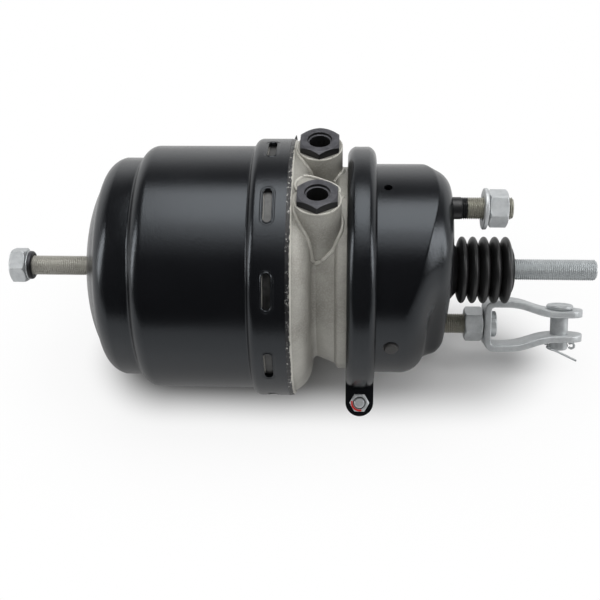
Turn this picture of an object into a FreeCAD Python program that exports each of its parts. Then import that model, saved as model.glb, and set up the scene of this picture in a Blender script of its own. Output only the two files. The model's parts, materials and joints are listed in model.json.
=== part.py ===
import FreeCAD, Part
import math
import os
import re
import Sketcher

# Combination spring brake chamber for a drum brake, service size 24.
# Millimetres. X runs along the chamber and out with the push rod, the two studs stand
# on the Z axis, and the origin is the middle of the mounting face.

V = FreeCAD.Vector
os.makedirs("parts", exist_ok=True)
doc = FreeCAD.newDocument("air_brake_chamber")

# Driving dimensions. Lengths are in millimetres and angles in degrees.
SIZES = {
    "fit_gap": 0.3,
    "thread_gap": 0.15,
    # service housing and its mounting face
    "service_depth": 65,
    "service_radius": 79,
    "steel_wall": 3,
    "shoulder_depth": 17,
    "shoulder_round": 18.5,
    "pad_reach": 74.5,
    "pad_upper_round": 51,
    "pad_lower_round": 36,
    "pad_draft": 18,
    "face_round": 9,
    "face_inner_round": 4,
    "rod_hole_radius": 22,
    "vent_back": 20,
    "vent_radius": 3,
    "plug_head_radius": 5.8,
    "plug_head_height": 2,
    # diaphragm rim and clamp ring
    "bead_thick": 4,
    "lip_radius": 88,
    "lip_thick": 3,
    "lip_slope": 1.6,
    "lip_root_radius": 81,
    "lip_round": 2.5,
    "clamp_radius": 91.8,
    "clamp_wall": 3,
    "clamp_width": 21,
    "clamp_flat": 10,
    "clamp_inner_radius": 80,
    "clamp_shoulder": 7,
    "clamp_round": 8,
    "clamp_turn": -45.4,
    "clamp_gap": 8,
    "ear_thick": 4,
    "ear_bolt_rise": 10.2,
    "clamp_bolt_radius": 4,
    "clamp_bolt_flats": 13,
    "clamp_nut_height": 6.5,
    "clamp_head_height": 5.3,
    "clamp_bolt_end": 5,
    # aluminium centre flange
    "flange_length": 52,
    "flange_rim_proud": 0.1,
    "flange_rim_thick": 2.4,
    "flange_rim_lip": 3,
    "neck_station": 98.5,
    "neck_radius": 67.3,
    "neck_back": 2.5,
    "neck_front": 1.5,
    "neck_rise": 4,
    "neck_round": 5,
    "dish_round": 22,
    "drum_station": 84,
    "drum_radius": 72.8,
    "collar_radius": 76.6,
    "collar_slope": 3,
    "collar_round": 6,
    "spigot_length": 19,
    "web_front": 94.3,
    "web_thick": 13.7,
    "hub_radius": 34,
    "hub_length": 14,
    "recess_inset": 5,
    "recess_taper": 2,
    "recess_round": 4,
    "cavity_radius": 58,
    "cavity_flare": 8,
    "cavity_foot": 10,
    "cavity_mouth_radius": 76,
    "cavity_lead": 2.6,
    "port_station": 95.8,
    "port_spread": 29.7,
    "boss_radius": 16.5,
    "boss_drop": 4.9,
    "boss_depth": 42,
    "port_flats": 28,
    "port_head": 6,
    "port_bore_radius": 7.4,
    "port_mouth_radius": 9.1,
    "port_mouth_depth": 2,
    "port_shank_radius": 12,
    "port_shank_length": 14,
    "port_shank_room": 0.5,
    "port_drill_radius": 5,
    "service_drill_end": 45,
    "passage_radius": 4,
    "passage_height": 72,
    "passage_length": 20,
    "drill_overrun": 1.5,
    # spring housing
    "bore_radius": 89,
    "band_rise": 8.5,
    "band_slope": 12,
    "band_edge_length": 3.6,
    "band_edge_drop": 2.2,
    "band_edge_round": 5,
    "band_sweep": 16,
    "bore_length": 70,
    "step_slope": 13,
    "step_round": 11,
    "step_foot": 2.5,
    "step_foot_round": 2.7,
    "step_inner_round": 4,
    "rear_inset": 6,
    "rear_length": 15,
    "corner_depth": 16.2,
    "corner_inset": 17,
    "corner_round": 17,
    "dome_depth": 15.3,
    "dome_round": 90,
    "recess_bore_radius": 22,
    "recess_depth": 18.5,
    "slot_count": 10,
    "slot_length": 27,
    "slot_width": 7,
    "slot_back": 12.5,
    "slot_turn": 20.6,
    "seal_back": 6,
    "lock_ring_width": 6,
    "lock_ring_height": 3.2,
    "housing_seal_width": 4,
    # piston and tube
    "piston_stroke": 57,
    "piston_thick": 14,
    "piston_seal_width": 5,
    "guide_ring_width": 3,
    "ring_depth": 3,
    "piston_edge": 1,
    "piston_seal_back": 4,
    "guide_ring_back": 10.8,
    "tube_radius": 19,
    "tube_wall": 3.5,
    "tube_cap_thick": 3,
    "tube_cap_plug": 8,
    "bush_radius": 22,
    "bush_seal_width": 4,
    "power_wire": 10,
    "power_turns": 4.5,
    "power_rear_radius": 36,
    "power_front_radius": 76,
    "power_rear_drop": 4,
    # release bolt
    "bolt_radius": 8,
    "bolt_flats": 24,
    "bolt_head_height": 13,
    "release_washer_radius": 11,
    "release_washer_thick": 7.2,
    "bolt_boss_radius": 14,
    "bolt_boss_length": 12,
    "cage_nut_radius": 13,
    "cage_nut_height": 8,
    # diaphragm, push plate and push rod
    "diaphragm_thick": 3,
    "plate_radius": 50,
    "plate_thick": 4,
    "plate_edge": 2,
    "plate_socket_wall": 4,
    "plate_socket_depth": 6,
    "rod_radius": 8.5,
    "rod_thread_radius": 8,
    "rod_reach": 112.5,
    "rod_chamfer": 1.5,
    "return_wire": 4.2,
    "return_turns": 4.5,
    "return_rear_radius": 40,
    "return_front_radius": 30,
    # studs, nuts and the plate that carries them
    "stud_spread": 120.65,
    "stud_radius": 8,
    "stud_reach": 43,
    "stud_chamfer": 1.2,
    "stud_head_radius": 9.6,
    "stud_head_height": 5,
    "stud_plate_thick": 4,
    "stud_plate_inset": 5.3,
    "nut_flats": 24,
    "nut_height": 15.3,
    "upper_nut_start": 25.5,
    "lower_nut_start": 18,
    "nut_turn": 14.6,
    "washer_radius": 15,
    "washer_hole_radius": 8.7,
    "washer_thick": 3,
    "washer_start": 21.6,
    "washer_tilt": 2.5,
    # rod guide and bellows
    "guide_bore_gap": 0.4,
    "guide_radius": 17,
    "guide_flange_radius": 23,
    "guide_flange_thick": 3,
    "guide_sink": 1,
    "bellows_base_radius": 23.5,
    "bellows_base_thick": 2,
    "bellows_first_crest": 11.5,
    "bellows_pitch": 8.2,
    "bellows_crests": 5,
    "bellows_crest_radius": 25.8,
    "bellows_valley_radius": 16.5,
    "bellows_wall": 1.8,
    "bellows_tip": 0.6,
    "bellows_end_run": 6,
    "bellows_neck_wall": 3,
    "bellows_neck_length": 4,
    # clevis, its bush, pin and cotter
    "clevis_strip": 5.5,
    "clevis_width": 25,
    "clevis_outer_base": 41,
    "clevis_gap": 14,
    "clevis_reach": 78.5,
    "clevis_pin_back": 18,
    "clevis_bend_start": 27,
    "clevis_bend_end": 49,
    "clevis_corner": 7,
    "clevis_turn": -36.5,
    "clevis_bush_radius": 10.3,
    "clevis_bush_reach": 4.6,
    "clevis_bush_wall": 1.2,
    "pin_radius": 7,
    "pin_gap": 0.25,
    "pin_head_radius": 10.5,
    "pin_head_height": 3.6,
    "pin_tail": 7.5,
    "cotter_wire": 2.2,
    "cotter_hole_drop": 4.5,
    "cotter_loop_radius": 3.2,
    "cotter_neck": 1.2,
    "cotter_leg": 20,
    "cotter_short_leg": 5,
}

sheet = doc.addObject("Spreadsheet::Sheet", "Sizes")
for row, (alias, size) in enumerate(SIZES.items(), 1):
    sheet.set(f"A{row}", alias)
    sheet.set(f"B{row}", str(size))
    sheet.setAlias(f"B{row}", alias)
doc.recompute()


def bound(text):
    """Point each size name of a sum at its cell of the sheet."""
    return re.sub(r"[a-z]\w*", lambda word: "Sizes." + word[0] if word[0] in SIZES else word[0], text)


def size_of(text):
    """Value of a sum of sizes, as the sheet holds them now."""
    return float(sheet.evalExpression(text))


# Stations, as distances behind the mounting face
BEAD_FRONT = "(service_depth - bead_thick / 2)"
BEAD_REAR = "(service_depth + bead_thick / 2)"
RIM = "(service_depth + flange_length)"
SPIGOT_END = f"({RIM} + spigot_length)"
BORE_START = f"({SPIGOT_END} + band_slope)"
BORE_END = f"({BORE_START} + bore_length)"
STEP_END = f"({BORE_END} + step_slope)"
CORNER_START = f"({STEP_END} + rear_length)"
CORNER_END = f"({CORNER_START} + corner_depth)"
REAR_END = f"({CORNER_END} + dome_depth)"
RECESS_FLOOR = f"({REAR_END} - recess_depth)"
WEB_REAR = "(web_front + web_thick)"
HUB_REAR = f"({WEB_REAR} + hub_length)"
PISTON_FRONT = f"({BORE_START} + piston_stroke)"
PISTON_REAR = f"({PISTON_FRONT} + piston_thick)"
DIAPHRAGM_REAR = "(web_front - fit_gap)"
DIAPHRAGM_FRONT = f"({DIAPHRAGM_REAR} - diaphragm_thick)"
PLATE_REAR = f"({DIAPHRAGM_FRONT} - fit_gap)"
PLATE_FRONT = f"({PLATE_REAR} - plate_thick)"
STUD_PLATE_REAR = "(steel_wall + stud_plate_thick)"
WASHER_FRONT = f"({RECESS_FLOOR} + piston_stroke + fit_gap)"
BOLT_HEAD_FRONT = f"({WASHER_FRONT} + release_washer_thick)"
STUD_Z = "(stud_spread / 2)"
BAND_RADIUS = "(bore_radius + band_rise)"
REAR_RADIUS = "(bore_radius - rear_inset)"
CORNER_RADIUS = f"({REAR_RADIUS} - corner_inset)"
RECESS_RADIUS = "(bore_radius - recess_inset)"
FLANGE_RIM = f"({BAND_RADIUS} + flange_rim_proud)"
BOSS_TOP = f"({BAND_RADIUS} - boss_drop)"
EAR_BOLT = "(clamp_radius + ear_bolt_rise)"
VENT_STATION = "(service_depth - vent_back)"
BAND_INNER = f"({BAND_RADIUS} - steel_wall)"
BORE_OUTER = "(bore_radius + steel_wall)"
REAR_INNER = f"({REAR_RADIUS} - steel_wall)"
SLOT_STATION = f"({RIM} + slot_back)"
SEAL_STATION = f"({SLOT_STATION} - seal_back)"
BELLOWS_LAST = "(bellows_first_crest + (bellows_crests - 1) * bellows_pitch)"
BELLOWS_END = f"({BELLOWS_LAST} + bellows_end_run)"
CLEVIS_BASE = "(lower_nut_start + nut_height + fit_gap)"
CLEVIS_END = f"({CLEVIS_BASE} + clevis_reach)"
PIN_X = f"({CLEVIS_END} - clevis_pin_back)"
COTTER_Z = "-(clevis_gap / 2 + clevis_strip + cotter_hole_drop)"

ALONG_X = FreeCAD.Rotation(V(0, 1, 0), 90)
AGAINST_X = FreeCAD.Rotation(V(0, 1, 0), -90)


def place(piece, x="0", y="0", z="0", rotation=FreeCAD.Rotation()):
    """Put a piece where three sums of sizes say, turned by a fixed rotation."""
    piece.Placement = FreeCAD.Placement(V(), rotation)
    for axis, text in zip("xyz", (x, y, z)):
        piece.setExpression(f"Placement.Base.{axis}", bound(text))
    return piece


def turn_about_x(piece, angle):
    """Turn a piece about the chamber's axis by an angle of the sheet."""
    piece.Placement = FreeCAD.Placement(V(), FreeCAD.Rotation(V(1, 0, 0), size_of(angle)))
    piece.setExpression("Placement.Rotation.Angle", bound(angle))
    return piece


def outline(body, name, role, steps, offset=None):
    """Closed outline on one of the body's own planes.

    A step is (x, y), reached by a straight line, or (x, y, radius), reached by an arc that
    turns left where the radius is positive and right where it is negative, or (x, y, "half"),
    reached by a half circle that turns left. Every value is a sum of sizes, and the point
    stays bound to it.
    """
    sketch = body.newObject("Sketcher::SketchObject", name)
    plane = [item for item in body.Origin.OriginFeatures if item.Role == role][0]
    sketch.AttachmentSupport = [(plane, "")]
    sketch.MapMode = "FlatFace"
    if offset:
        sketch.setExpression("AttachmentOffset.Base.z", bound(offset))
    points = [V(size_of(step[0]), size_of(step[1]), 0) for step in steps]
    tails = []
    heads = []
    rules = []
    bindings = {}
    for number, step in enumerate(steps):
        start = points[number - 1]
        end = points[number]
        if len(step) == 2:
            geometry = sketch.addGeometry(Part.LineSegment(start, end))
            tail, head = 1, 2
        else:
            chord = end - start
            half = step[2] == "half"
            radius = chord.Length / 2 if half else size_of(step[2])
            rise = math.sqrt(max(radius ** 2 - chord.Length ** 2 / 4, 0))
            side = V(-chord.y, chord.x, 0).normalize() * (rise if radius > 0 else -rise)
            centre = start + chord / 2 + side
            first, last = (start, end) if radius > 0 else (end, start)
            angles = [math.atan2(p.y - centre.y, p.x - centre.x) for p in (first, last)]
            circle = Part.Circle(centre, V(0, 0, 1), abs(radius))
            geometry = sketch.addGeometry(Part.ArcOfCircle(circle, *angles))
            tail, head = (1, 2) if radius > 0 else (2, 1)
            if half:
                across = int(abs(chord.x) > abs(chord.y))
                text = f"(({steps[number - 1][across]}) + ({step[across]})) / 2"
                kind = ("DistanceX", "DistanceY")[across]
                bindings[len(rules)] = text
                rules.append(Sketcher.Constraint(kind, -1, 1, geometry, 3, size_of(text)))
            else:
                bindings[len(rules)] = step[2] if radius > 0 else f"-({step[2]})"
                rules.append(Sketcher.Constraint("Radius", geometry, abs(radius)))
        tails.append((geometry, tail))
        heads.append((geometry, head))
        for kind, text, axis in (("DistanceX", step[0], -2), ("DistanceY", step[1], -1)):
            if text == "0":
                rules.append(Sketcher.Constraint("PointOnObject", geometry, head, axis))
            else:
                bindings[len(rules)] = text
                rules.append(Sketcher.Constraint(kind, -1, 1, geometry, head, size_of(text)))
    for number in range(len(steps)):
        rules.append(Sketcher.Constraint("Coincident", *heads[number - 1], *tails[number]))
    sketch.addConstraint(rules)
    for number, text in bindings.items():
        sketch.setExpression(f"Constraints[{number}]", bound(text))
    return sketch


def circle_sketch(body, name, role, circles, offset=None):
    """Round outlines on one of the body's own planes, each (x, y, radius) in sums of sizes."""
    sketch = body.newObject("Sketcher::SketchObject", name)
    plane = [item for item in body.Origin.OriginFeatures if item.Role == role][0]
    sketch.AttachmentSupport = [(plane, "")]
    sketch.MapMode = "FlatFace"
    if offset:
        sketch.setExpression("AttachmentOffset.Base.z", bound(offset))
    for x, y, radius in circles:
        middle = V(size_of(x), size_of(y), 0)
        ring = sketch.addGeometry(Part.Circle(middle, V(0, 0, 1), size_of(radius)))
        number = sketch.addConstraint(Sketcher.Constraint("Radius", ring, size_of(radius)))
        sketch.setExpression(f"Constraints[{number}]", bound(radius))
        for kind, text, axis in (("DistanceX", x, -2), ("DistanceY", y, -1)):
            if text == "0":
                sketch.addConstraint(Sketcher.Constraint("PointOnObject", ring, 3, axis))
            else:
                rule = Sketcher.Constraint(kind, -1, 1, ring, 3, size_of(text))
                number = sketch.addConstraint(rule)
                sketch.setExpression(f"Constraints[{number}]", bound(text))
    return sketch


def new_body(name):
    body = doc.addObject("PartDesign::Body", name)
    body.Label = name
    return body


def feature(body, kind, name, sketch, **settings):
    """Sketch-based feature whose text settings are sums of sizes."""
    made = body.newObject("PartDesign::" + kind, name)
    made.Profile = sketch
    for key, setting in settings.items():
        if isinstance(setting, str) and key not in ("Type", "SideType"):
            made.setExpression(key, bound(setting))
        else:
            setattr(made, key, setting)
    return made


def turned(body, kind, name, steps):
    """Revolution or Groove of an outline in the XZ plane about the chamber's axis."""
    sketch = outline(body, name + "_outline", "XZ_Plane", steps)
    return feature(body, kind, name, sketch, ReferenceAxis=(sketch, ["H_Axis"]), Angle=360)


def revolved(name, steps):
    body = new_body(name)
    turned(body, "Revolution", name + "_turn", steps)
    return body


def ring(name, rear, front, inner, outer):
    """Plain ring or disc about the chamber's axis; rear and front are X positions."""
    return revolved(name, [(rear, inner), (front, inner), (front, outer), (rear, outer)])


def cut_check(body, before, what):
    """Stop where a cut took nothing away."""
    doc.recompute()
    if body.Shape.Volume > before - 1:
        raise RuntimeError(f"{what} cut nothing")


def hex_prism(name, flats, height):
    prism = doc.addObject("Part::Prism", name)
    prism.Polygon = 6
    prism.setExpression("Circumradius", bound(f"{flats} / 2 / cos(30)"))
    prism.setExpression("Height", bound(height))
    return prism


def cylinder(name, radius, height):
    rod = doc.addObject("Part::Cylinder", name)
    rod.setExpression("Radius", bound(radius))
    rod.setExpression("Height", bound(height))
    return rod


def combined(kind, name, base, tool):
    """Part boolean of two objects, Cut, Fuse or Common."""
    made = doc.addObject("Part::" + kind, name)
    made.Base = base
    made.Tool = tool
    made.Label = name
    return made


def helix_spring(name, rear_x, front_x, rear_radius, front_radius, turns, wire):
    """Tapered coil spring with an eight-sided wire, wound from its narrow end."""
    ends = [(size_of(rear_x), size_of(rear_radius)), (size_of(front_x), size_of(front_radius))]
    ends.sort(key=lambda end: end[1])
    (start_x, narrow), (end_x, wide) = ends
    length = abs(end_x - start_x)
    taper = math.degrees(math.atan2(wide - narrow, length))
    path = Part.makeLongHelix(length / size_of(turns), length, narrow, taper)
    half = size_of(wire) / 2
    corners = []
    for corner in range(9):
        angle = math.radians(corner * 45 + 22.5)
        corners.append(V(narrow + half * math.cos(angle), 0, half * math.sin(angle)))
    section = Part.makePolygon(corners)
    spring = doc.addObject("Part::Feature", name)
    spring.Shape = Part.Wire(path.Edges).makePipeShell([section], True, True)
    spring.Placement = FreeCAD.Placement(V(start_x, 0, 0), ALONG_X if end_x > start_x else AGAINST_X)
    return spring


def pad_steps(inset="0"):
    """Egg outline of the mounting pad in the YZ plane, set in by a wall: a wide round end above, a
    narrow one below, and straight sides that run into both."""
    upper = f"(pad_upper_round - {inset})"
    lower = f"(pad_lower_round - {inset})"
    lean = "((pad_upper_round - pad_lower_round) / (2 * pad_reach - pad_upper_round - pad_lower_round))"
    upright = f"sqrt(1 - {lean} ^ 2)"
    upper_z = f"pad_reach - pad_upper_round - {upper} * {lean}"
    lower_z = f"-(pad_reach - pad_lower_round + {lower} * {lean})"
    return [
        (f"{upper} * {upright}", upper_z),
        ("0", f"pad_reach - {inset}", upper),
        (f"-{upper} * {upright}", upper_z, upper),
        (f"-{lower} * {upright}", lower_z),
        (f"{lower} * {upright}", lower_z, lower),
    ]


def drafted_pad(body, name, inset, front, limit, rounding):
    """Pad that widens backwards by its draft as far as the cup's own wall, with a rounded front edge."""
    form = outline(body, name + "_outline", "YZ_Plane", pad_steps(inset), front)
    depth = "shoulder_depth + shoulder_round"
    feature(body, "Pad", name, form, Length=depth, Reversed=True, TaperAngle="pad_draft")
    turned(body, "Groove", name + "_limit", [
        (f"-({depth} + steel_wall)", limit),
        ("steel_wall", limit),
        ("steel_wall", f"{limit} + pad_reach"),
        (f"-({depth} + steel_wall)", f"{limit} + pad_reach"),
    ])
    doc.recompute()
    base = body.Tip
    level = size_of(front) - 0.01
    edges = [f"Edge{number}" for number, edge in enumerate(base.Shape.Edges, 1)
             if edge.BoundBox.XMin > level]
    rounded = body.newObject("PartDesign::Fillet", name + "_rounding")
    rounded.Base = (base, edges)
    rounded.setExpression("Radius", bound(rounding))
    doc.recompute()


pieces = []


def make_spring_housing():
    """Pressed steel shell with its band of slots, stepped rear and centre recess."""
    body = new_body("spring_housing")
    turned(body, "Revolution", "housing_shell", [
        (f"-{RIM}", BAND_RADIUS),
        (f"-{SPIGOT_END}", BAND_RADIUS),
        (f"-({SPIGOT_END} + band_edge_length)", f"{BAND_RADIUS} - band_edge_drop", "band_edge_round"),
        (f"-{BORE_START}", BORE_OUTER, "-band_sweep"),
        (f"-{BORE_END}", BORE_OUTER),
        (f"-({STEP_END} - step_foot)", f"{REAR_RADIUS} + step_foot", "step_round"),
        (f"-{STEP_END}", REAR_RADIUS, "-step_foot_round"),
        (f"-{CORNER_START}", REAR_RADIUS),
        (f"-{CORNER_END}", CORNER_RADIUS, "corner_round"),
        (f"-{REAR_END}", "recess_bore_radius + steel_wall", "dome_round"),
        (f"-({REAR_END} - steel_wall)", "recess_bore_radius", "steel_wall"),
        (f"-{RECESS_FLOOR}", "recess_bore_radius"),
        (f"-{RECESS_FLOOR}", "bolt_radius + 2 * fit_gap"),
        (f"-({RECESS_FLOOR} - steel_wall)", "bolt_radius + 2 * fit_gap"),
        (f"-({RECESS_FLOOR} - steel_wall)", "recess_bore_radius + steel_wall"),
        (f"-({REAR_END} - steel_wall)", "recess_bore_radius + steel_wall"),
        (f"-({CORNER_END} - steel_wall / 4)", f"{CORNER_RADIUS} - steel_wall", "-(dome_round - steel_wall)"),
        (f"-{CORNER_START}", REAR_INNER, "-(corner_round - steel_wall)"),
        (f"-{STEP_END}", REAR_INNER),
        (f"-({STEP_END} - step_inner_round)", f"{REAR_INNER} + step_inner_round", "step_inner_round"),
        (f"-{BORE_END}", "bore_radius", "-(step_round - steel_wall)"),
        (f"-{BORE_START}", "bore_radius"),
        (f"-({SPIGOT_END} + band_edge_length / 2)", BAND_INNER, "band_sweep + steel_wall"),
        (f"-{RIM}", BAND_INNER),
    ])
    doc.recompute()
    before = body.Shape.Volume
    sketch = outline(body, "slot_outline", "XY_Plane", [
        (f"-({SLOT_STATION} - slot_width / 2)", "(slot_length - slot_width) / 2"),
        (f"-({SLOT_STATION} + slot_width / 2)", "(slot_length - slot_width) / 2", "half"),
        (f"-({SLOT_STATION} + slot_width / 2)", "-(slot_length - slot_width) / 2"),
        (f"-({SLOT_STATION} - slot_width / 2)", "-(slot_length - slot_width) / 2", "half"),
    ])
    slot = feature(body, "Pocket", "band_slot", sketch, Length=f"{BAND_RADIUS} * 1.2", Reversed=True)
    slots = body.newObject("PartDesign::PolarPattern", "band_slots")
    slots.Originals = [slot]
    slots.Axis = ([item for item in body.Origin.OriginFeatures if item.Role == "X_Axis"][0], [""])
    slots.Angle = 360
    slots.setExpression("Occurrences", bound("slot_count"))
    body.Tip = slots
    cut_check(body, before, "the band slots")
    return turn_about_x(body, "slot_turn")


def make_centre_flange():
    """Aluminium casting between the two chambers, with both air bosses and the tube hub."""
    body = new_body("centre_flange")
    spigot = f"({BAND_INNER} - fit_gap)"
    turned(body, "Revolution", "flange_form", [
        (f"-{SPIGOT_END}", "0"),
        (f"-{SPIGOT_END}", spigot),
        (f"-{RIM}", spigot),
        (f"-{RIM}", FLANGE_RIM),
        (f"-({RIM} - flange_rim_thick)", FLANGE_RIM),
        (f"-({RIM} - flange_rim_thick)", f"{FLANGE_RIM} - flange_rim_lip"),
        ("-(neck_station + neck_back)", "neck_radius + neck_rise", "-dish_round"),
        ("-(neck_station - neck_front)", "neck_radius", "neck_round"),
        ("-drum_station", "drum_radius"),
        ("-(drum_station - collar_slope)", "collar_radius", "-collar_round"),
        (f"-({BEAD_REAR} + lip_thick + lip_slope)", "collar_radius"),
        (f"-({BEAD_REAR} + lip_thick + lip_slope)", "lip_root_radius"),
        (f"-({BEAD_REAR} + lip_thick)", "lip_radius"),
        (f"-{BEAD_REAR}", "lip_radius"),
        (f"-{BEAD_REAR}", "0"),
    ])
    bosses = circle_sketch(body, "boss_outline", "XY_Plane", [
        ("-port_station", "port_spread", "boss_radius"),
        ("-port_station", "-port_spread", "boss_radius"),
    ], BOSS_TOP)
    feature(body, "Pad", "bosses", bosses, Length="boss_depth", Reversed=True)
    doc.recompute()
    before = body.Shape.Volume
    turned(body, "Groove", "diaphragm_cavity", [
        (f"-({BEAD_REAR} - 1)", "0"),
        (f"-({BEAD_REAR} - 1)", "cavity_mouth_radius"),
        (f"-{BEAD_REAR}", "cavity_mouth_radius"),
        (f"-({BEAD_REAR} + cavity_lead)", "cavity_mouth_radius - cavity_lead"),
        ("-(web_front - cavity_foot)", "cavity_radius + cavity_flare"),
        ("-web_front", "cavity_radius"),
        ("-web_front", "0"),
    ])
    turned(body, "Groove", "rear_recess", [
        (f"-({SPIGOT_END} + 1)", "0"),
        (f"-({SPIGOT_END} + 1)", f"{RECESS_RADIUS} + recess_taper"),
        (f"-({WEB_REAR} + recess_round)", RECESS_RADIUS),
        (f"-{WEB_REAR}", f"{RECESS_RADIUS} - recess_round", "-recess_round"),
        (f"-{WEB_REAR}", "hub_radius"),
        (f"-{HUB_REAR}", "hub_radius"),
        (f"-{HUB_REAR}", "0"),
    ])
    turned(body, "Groove", "hub_bore", [
        (f"-({HUB_REAR} + 1)", "0"),
        (f"-({HUB_REAR} + 1)", "bush_radius"),
        ("-(web_front - 1)", "bush_radius"),
        ("-(web_front - 1)", "0"),
    ])
    grooves = (("lock_ring_groove", SLOT_STATION, "lock_ring_width", "lock_ring_height"),
               ("seal_groove", SEAL_STATION, "housing_seal_width", "ring_depth"))
    for name, station, width, depth in grooves:
        turned(body, "Groove", name, [
            (f"-({station} + {width} / 2)", f"{spigot} - {depth}"),
            (f"-({station} - {width} / 2)", f"{spigot} - {depth}"),
            (f"-({station} - {width} / 2)", f"{spigot} + fit_gap"),
            (f"-({station} + {width} / 2)", f"{spigot} + fit_gap"),
        ])
    sockets = circle_sketch(body, "socket_outline", "XY_Plane", [
        ("-port_station", "port_spread", "port_shank_radius + thread_gap"),
        ("-port_station", "-port_spread", "port_shank_radius + thread_gap"),
    ], BOSS_TOP)
    feature(body, "Pocket", "port_sockets", sockets, Length="port_shank_length + port_shank_room")
    drill = circle_sketch(body, "service_drill_outline", "XY_Plane", [
        ("-port_station", "-port_spread", "port_drill_radius"),
    ], BOSS_TOP)
    feature(body, "Pocket", "service_drill", drill, Length=f"{BOSS_TOP} - service_drill_end")
    drill = circle_sketch(body, "parking_drill_outline", "XY_Plane", [
        ("-port_station", "port_spread", "port_drill_radius"),
    ], BOSS_TOP)
    feature(body, "Pocket", "parking_drill", drill,
            Length=f"{BOSS_TOP} - passage_height + passage_radius + drill_overrun")
    passage = circle_sketch(body, "passage_outline", "YZ_Plane", [
        ("port_spread", "passage_height", "passage_radius"),
    ], "-port_station")
    feature(body, "Pocket", "parking_passage", passage, Length="passage_length")
    cut_check(body, before, "the flange's cavities")
    return body


def make_port_adapter(name, y):
    """Hexagon port insert with its female thread, screwed into a boss."""
    head = hex_prism(name + "_hexagon", "port_flats", "port_head")
    place(head, rotation=FreeCAD.Rotation(V(0, 0, 1), 30))
    shank = cylinder(name + "_shank", "port_shank_radius", "port_shank_length")
    place(shank, z="-port_shank_length")
    solid = combined("Fuse", name + "_solid", head, shank)
    bore = cylinder(name + "_bore", "port_bore_radius", "port_head + port_shank_length + 2")
    place(bore, z="-port_shank_length - 1")
    mouth = cylinder(name + "_mouth", "port_mouth_radius", "port_mouth_depth + 1")
    place(mouth, z="port_head - port_mouth_depth")
    holes = combined("Fuse", name + "_holes", bore, mouth)
    adapter = combined("Cut", name, solid, holes)
    return place(adapter, "-port_station", y, BOSS_TOP)


def make_service_housing():
    """Pressed steel cup with the raised mounting pad, rod hole, stud holes and vents."""
    body = new_body("service_housing_form")
    turned(body, "Revolution", "cup_form", [
        (f"-{BEAD_FRONT}", "0"),
        (f"-{BEAD_FRONT}", "lip_radius"),
        (f"-({BEAD_FRONT} - lip_thick)", "lip_radius"),
        (f"-({BEAD_FRONT} - lip_thick - lip_slope)", "lip_root_radius"),
        (f"-({BEAD_FRONT} - lip_thick - lip_slope - lip_root_radius + service_radius)", "service_radius",
         "lip_round"),
        ("-(shoulder_depth + shoulder_round)", "service_radius"),
        ("-shoulder_depth", "service_radius - shoulder_round", "-shoulder_round"),
        ("-shoulder_depth", "0"),
    ])
    drafted_pad(body, "mounting_pad", "0", "0", "service_radius", "face_round")
    before = body.Shape.Volume
    holes = circle_sketch(body, "face_hole_outline", "YZ_Plane", [
        ("0", "0", "rod_hole_radius"),
        ("0", STUD_Z, "stud_radius + thread_gap"),
        ("0", f"-{STUD_Z}", "stud_radius + thread_gap"),
    ])
    feature(body, "Pocket", "face_holes", holes, Length="2 * steel_wall")
    for name, role in (("upright", "XY_Plane"), ("level", "XZ_Plane")):
        vents = circle_sketch(body, name + "_vent_outline", role, [
            (f"-{VENT_STATION}", "0", "vent_radius"),
        ], "service_radius + steel_wall")
        feature(body, "Pocket", name + "_vents", vents, Length="2 * (service_radius + steel_wall)")
    cut_check(body, before, "the cup's holes")
    core = new_body("service_housing_core")
    turned(core, "Revolution", "cup_cavity", [
        (f"-({BEAD_FRONT} + lip_thick)", "0"),
        (f"-({BEAD_FRONT} + lip_thick)", "service_radius - 1"),
        (f"-{BEAD_FRONT}", "service_radius - 1"),
        (f"-({BEAD_FRONT} - lip_thick)", "service_radius - steel_wall"),
        ("-(shoulder_depth + shoulder_round)", "service_radius - steel_wall"),
        ("-(shoulder_depth + steel_wall)", "service_radius - shoulder_round",
         "-(shoulder_round - steel_wall)"),
        ("-(shoulder_depth + steel_wall)", "0"),
    ])
    wall = "steel_wall * (1 / cos(pad_draft) - tan(pad_draft))"
    drafted_pad(core, "pad_cavity", f"({wall})", "-steel_wall", "service_radius - steel_wall",
                "face_inner_round")
    return combined("Cut", "service_housing", body, core)


def make_vent_plugs():
    """Two rubber plugs that close the level vents."""
    plugs = []
    for side, turn in (("near", 90), ("far", -90)):
        head = cylinder(f"{side}_plug_head", "plug_head_radius", "plug_head_height")
        place(head, z="service_radius")
        shank = cylinder(f"{side}_plug_shank", "vent_radius - thread_gap", "steel_wall + 3")
        place(shank, z="service_radius - steel_wall - 2")
        plug = combined("Fuse", f"{side}_vent_plug", head, shank)
        plugs.append(place(plug, f"-{VENT_STATION}", rotation=FreeCAD.Rotation(V(1, 0, 0), turn)))
    group = doc.addObject("Part::Compound", "vent_plugs")
    group.Links = plugs
    return group


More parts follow.
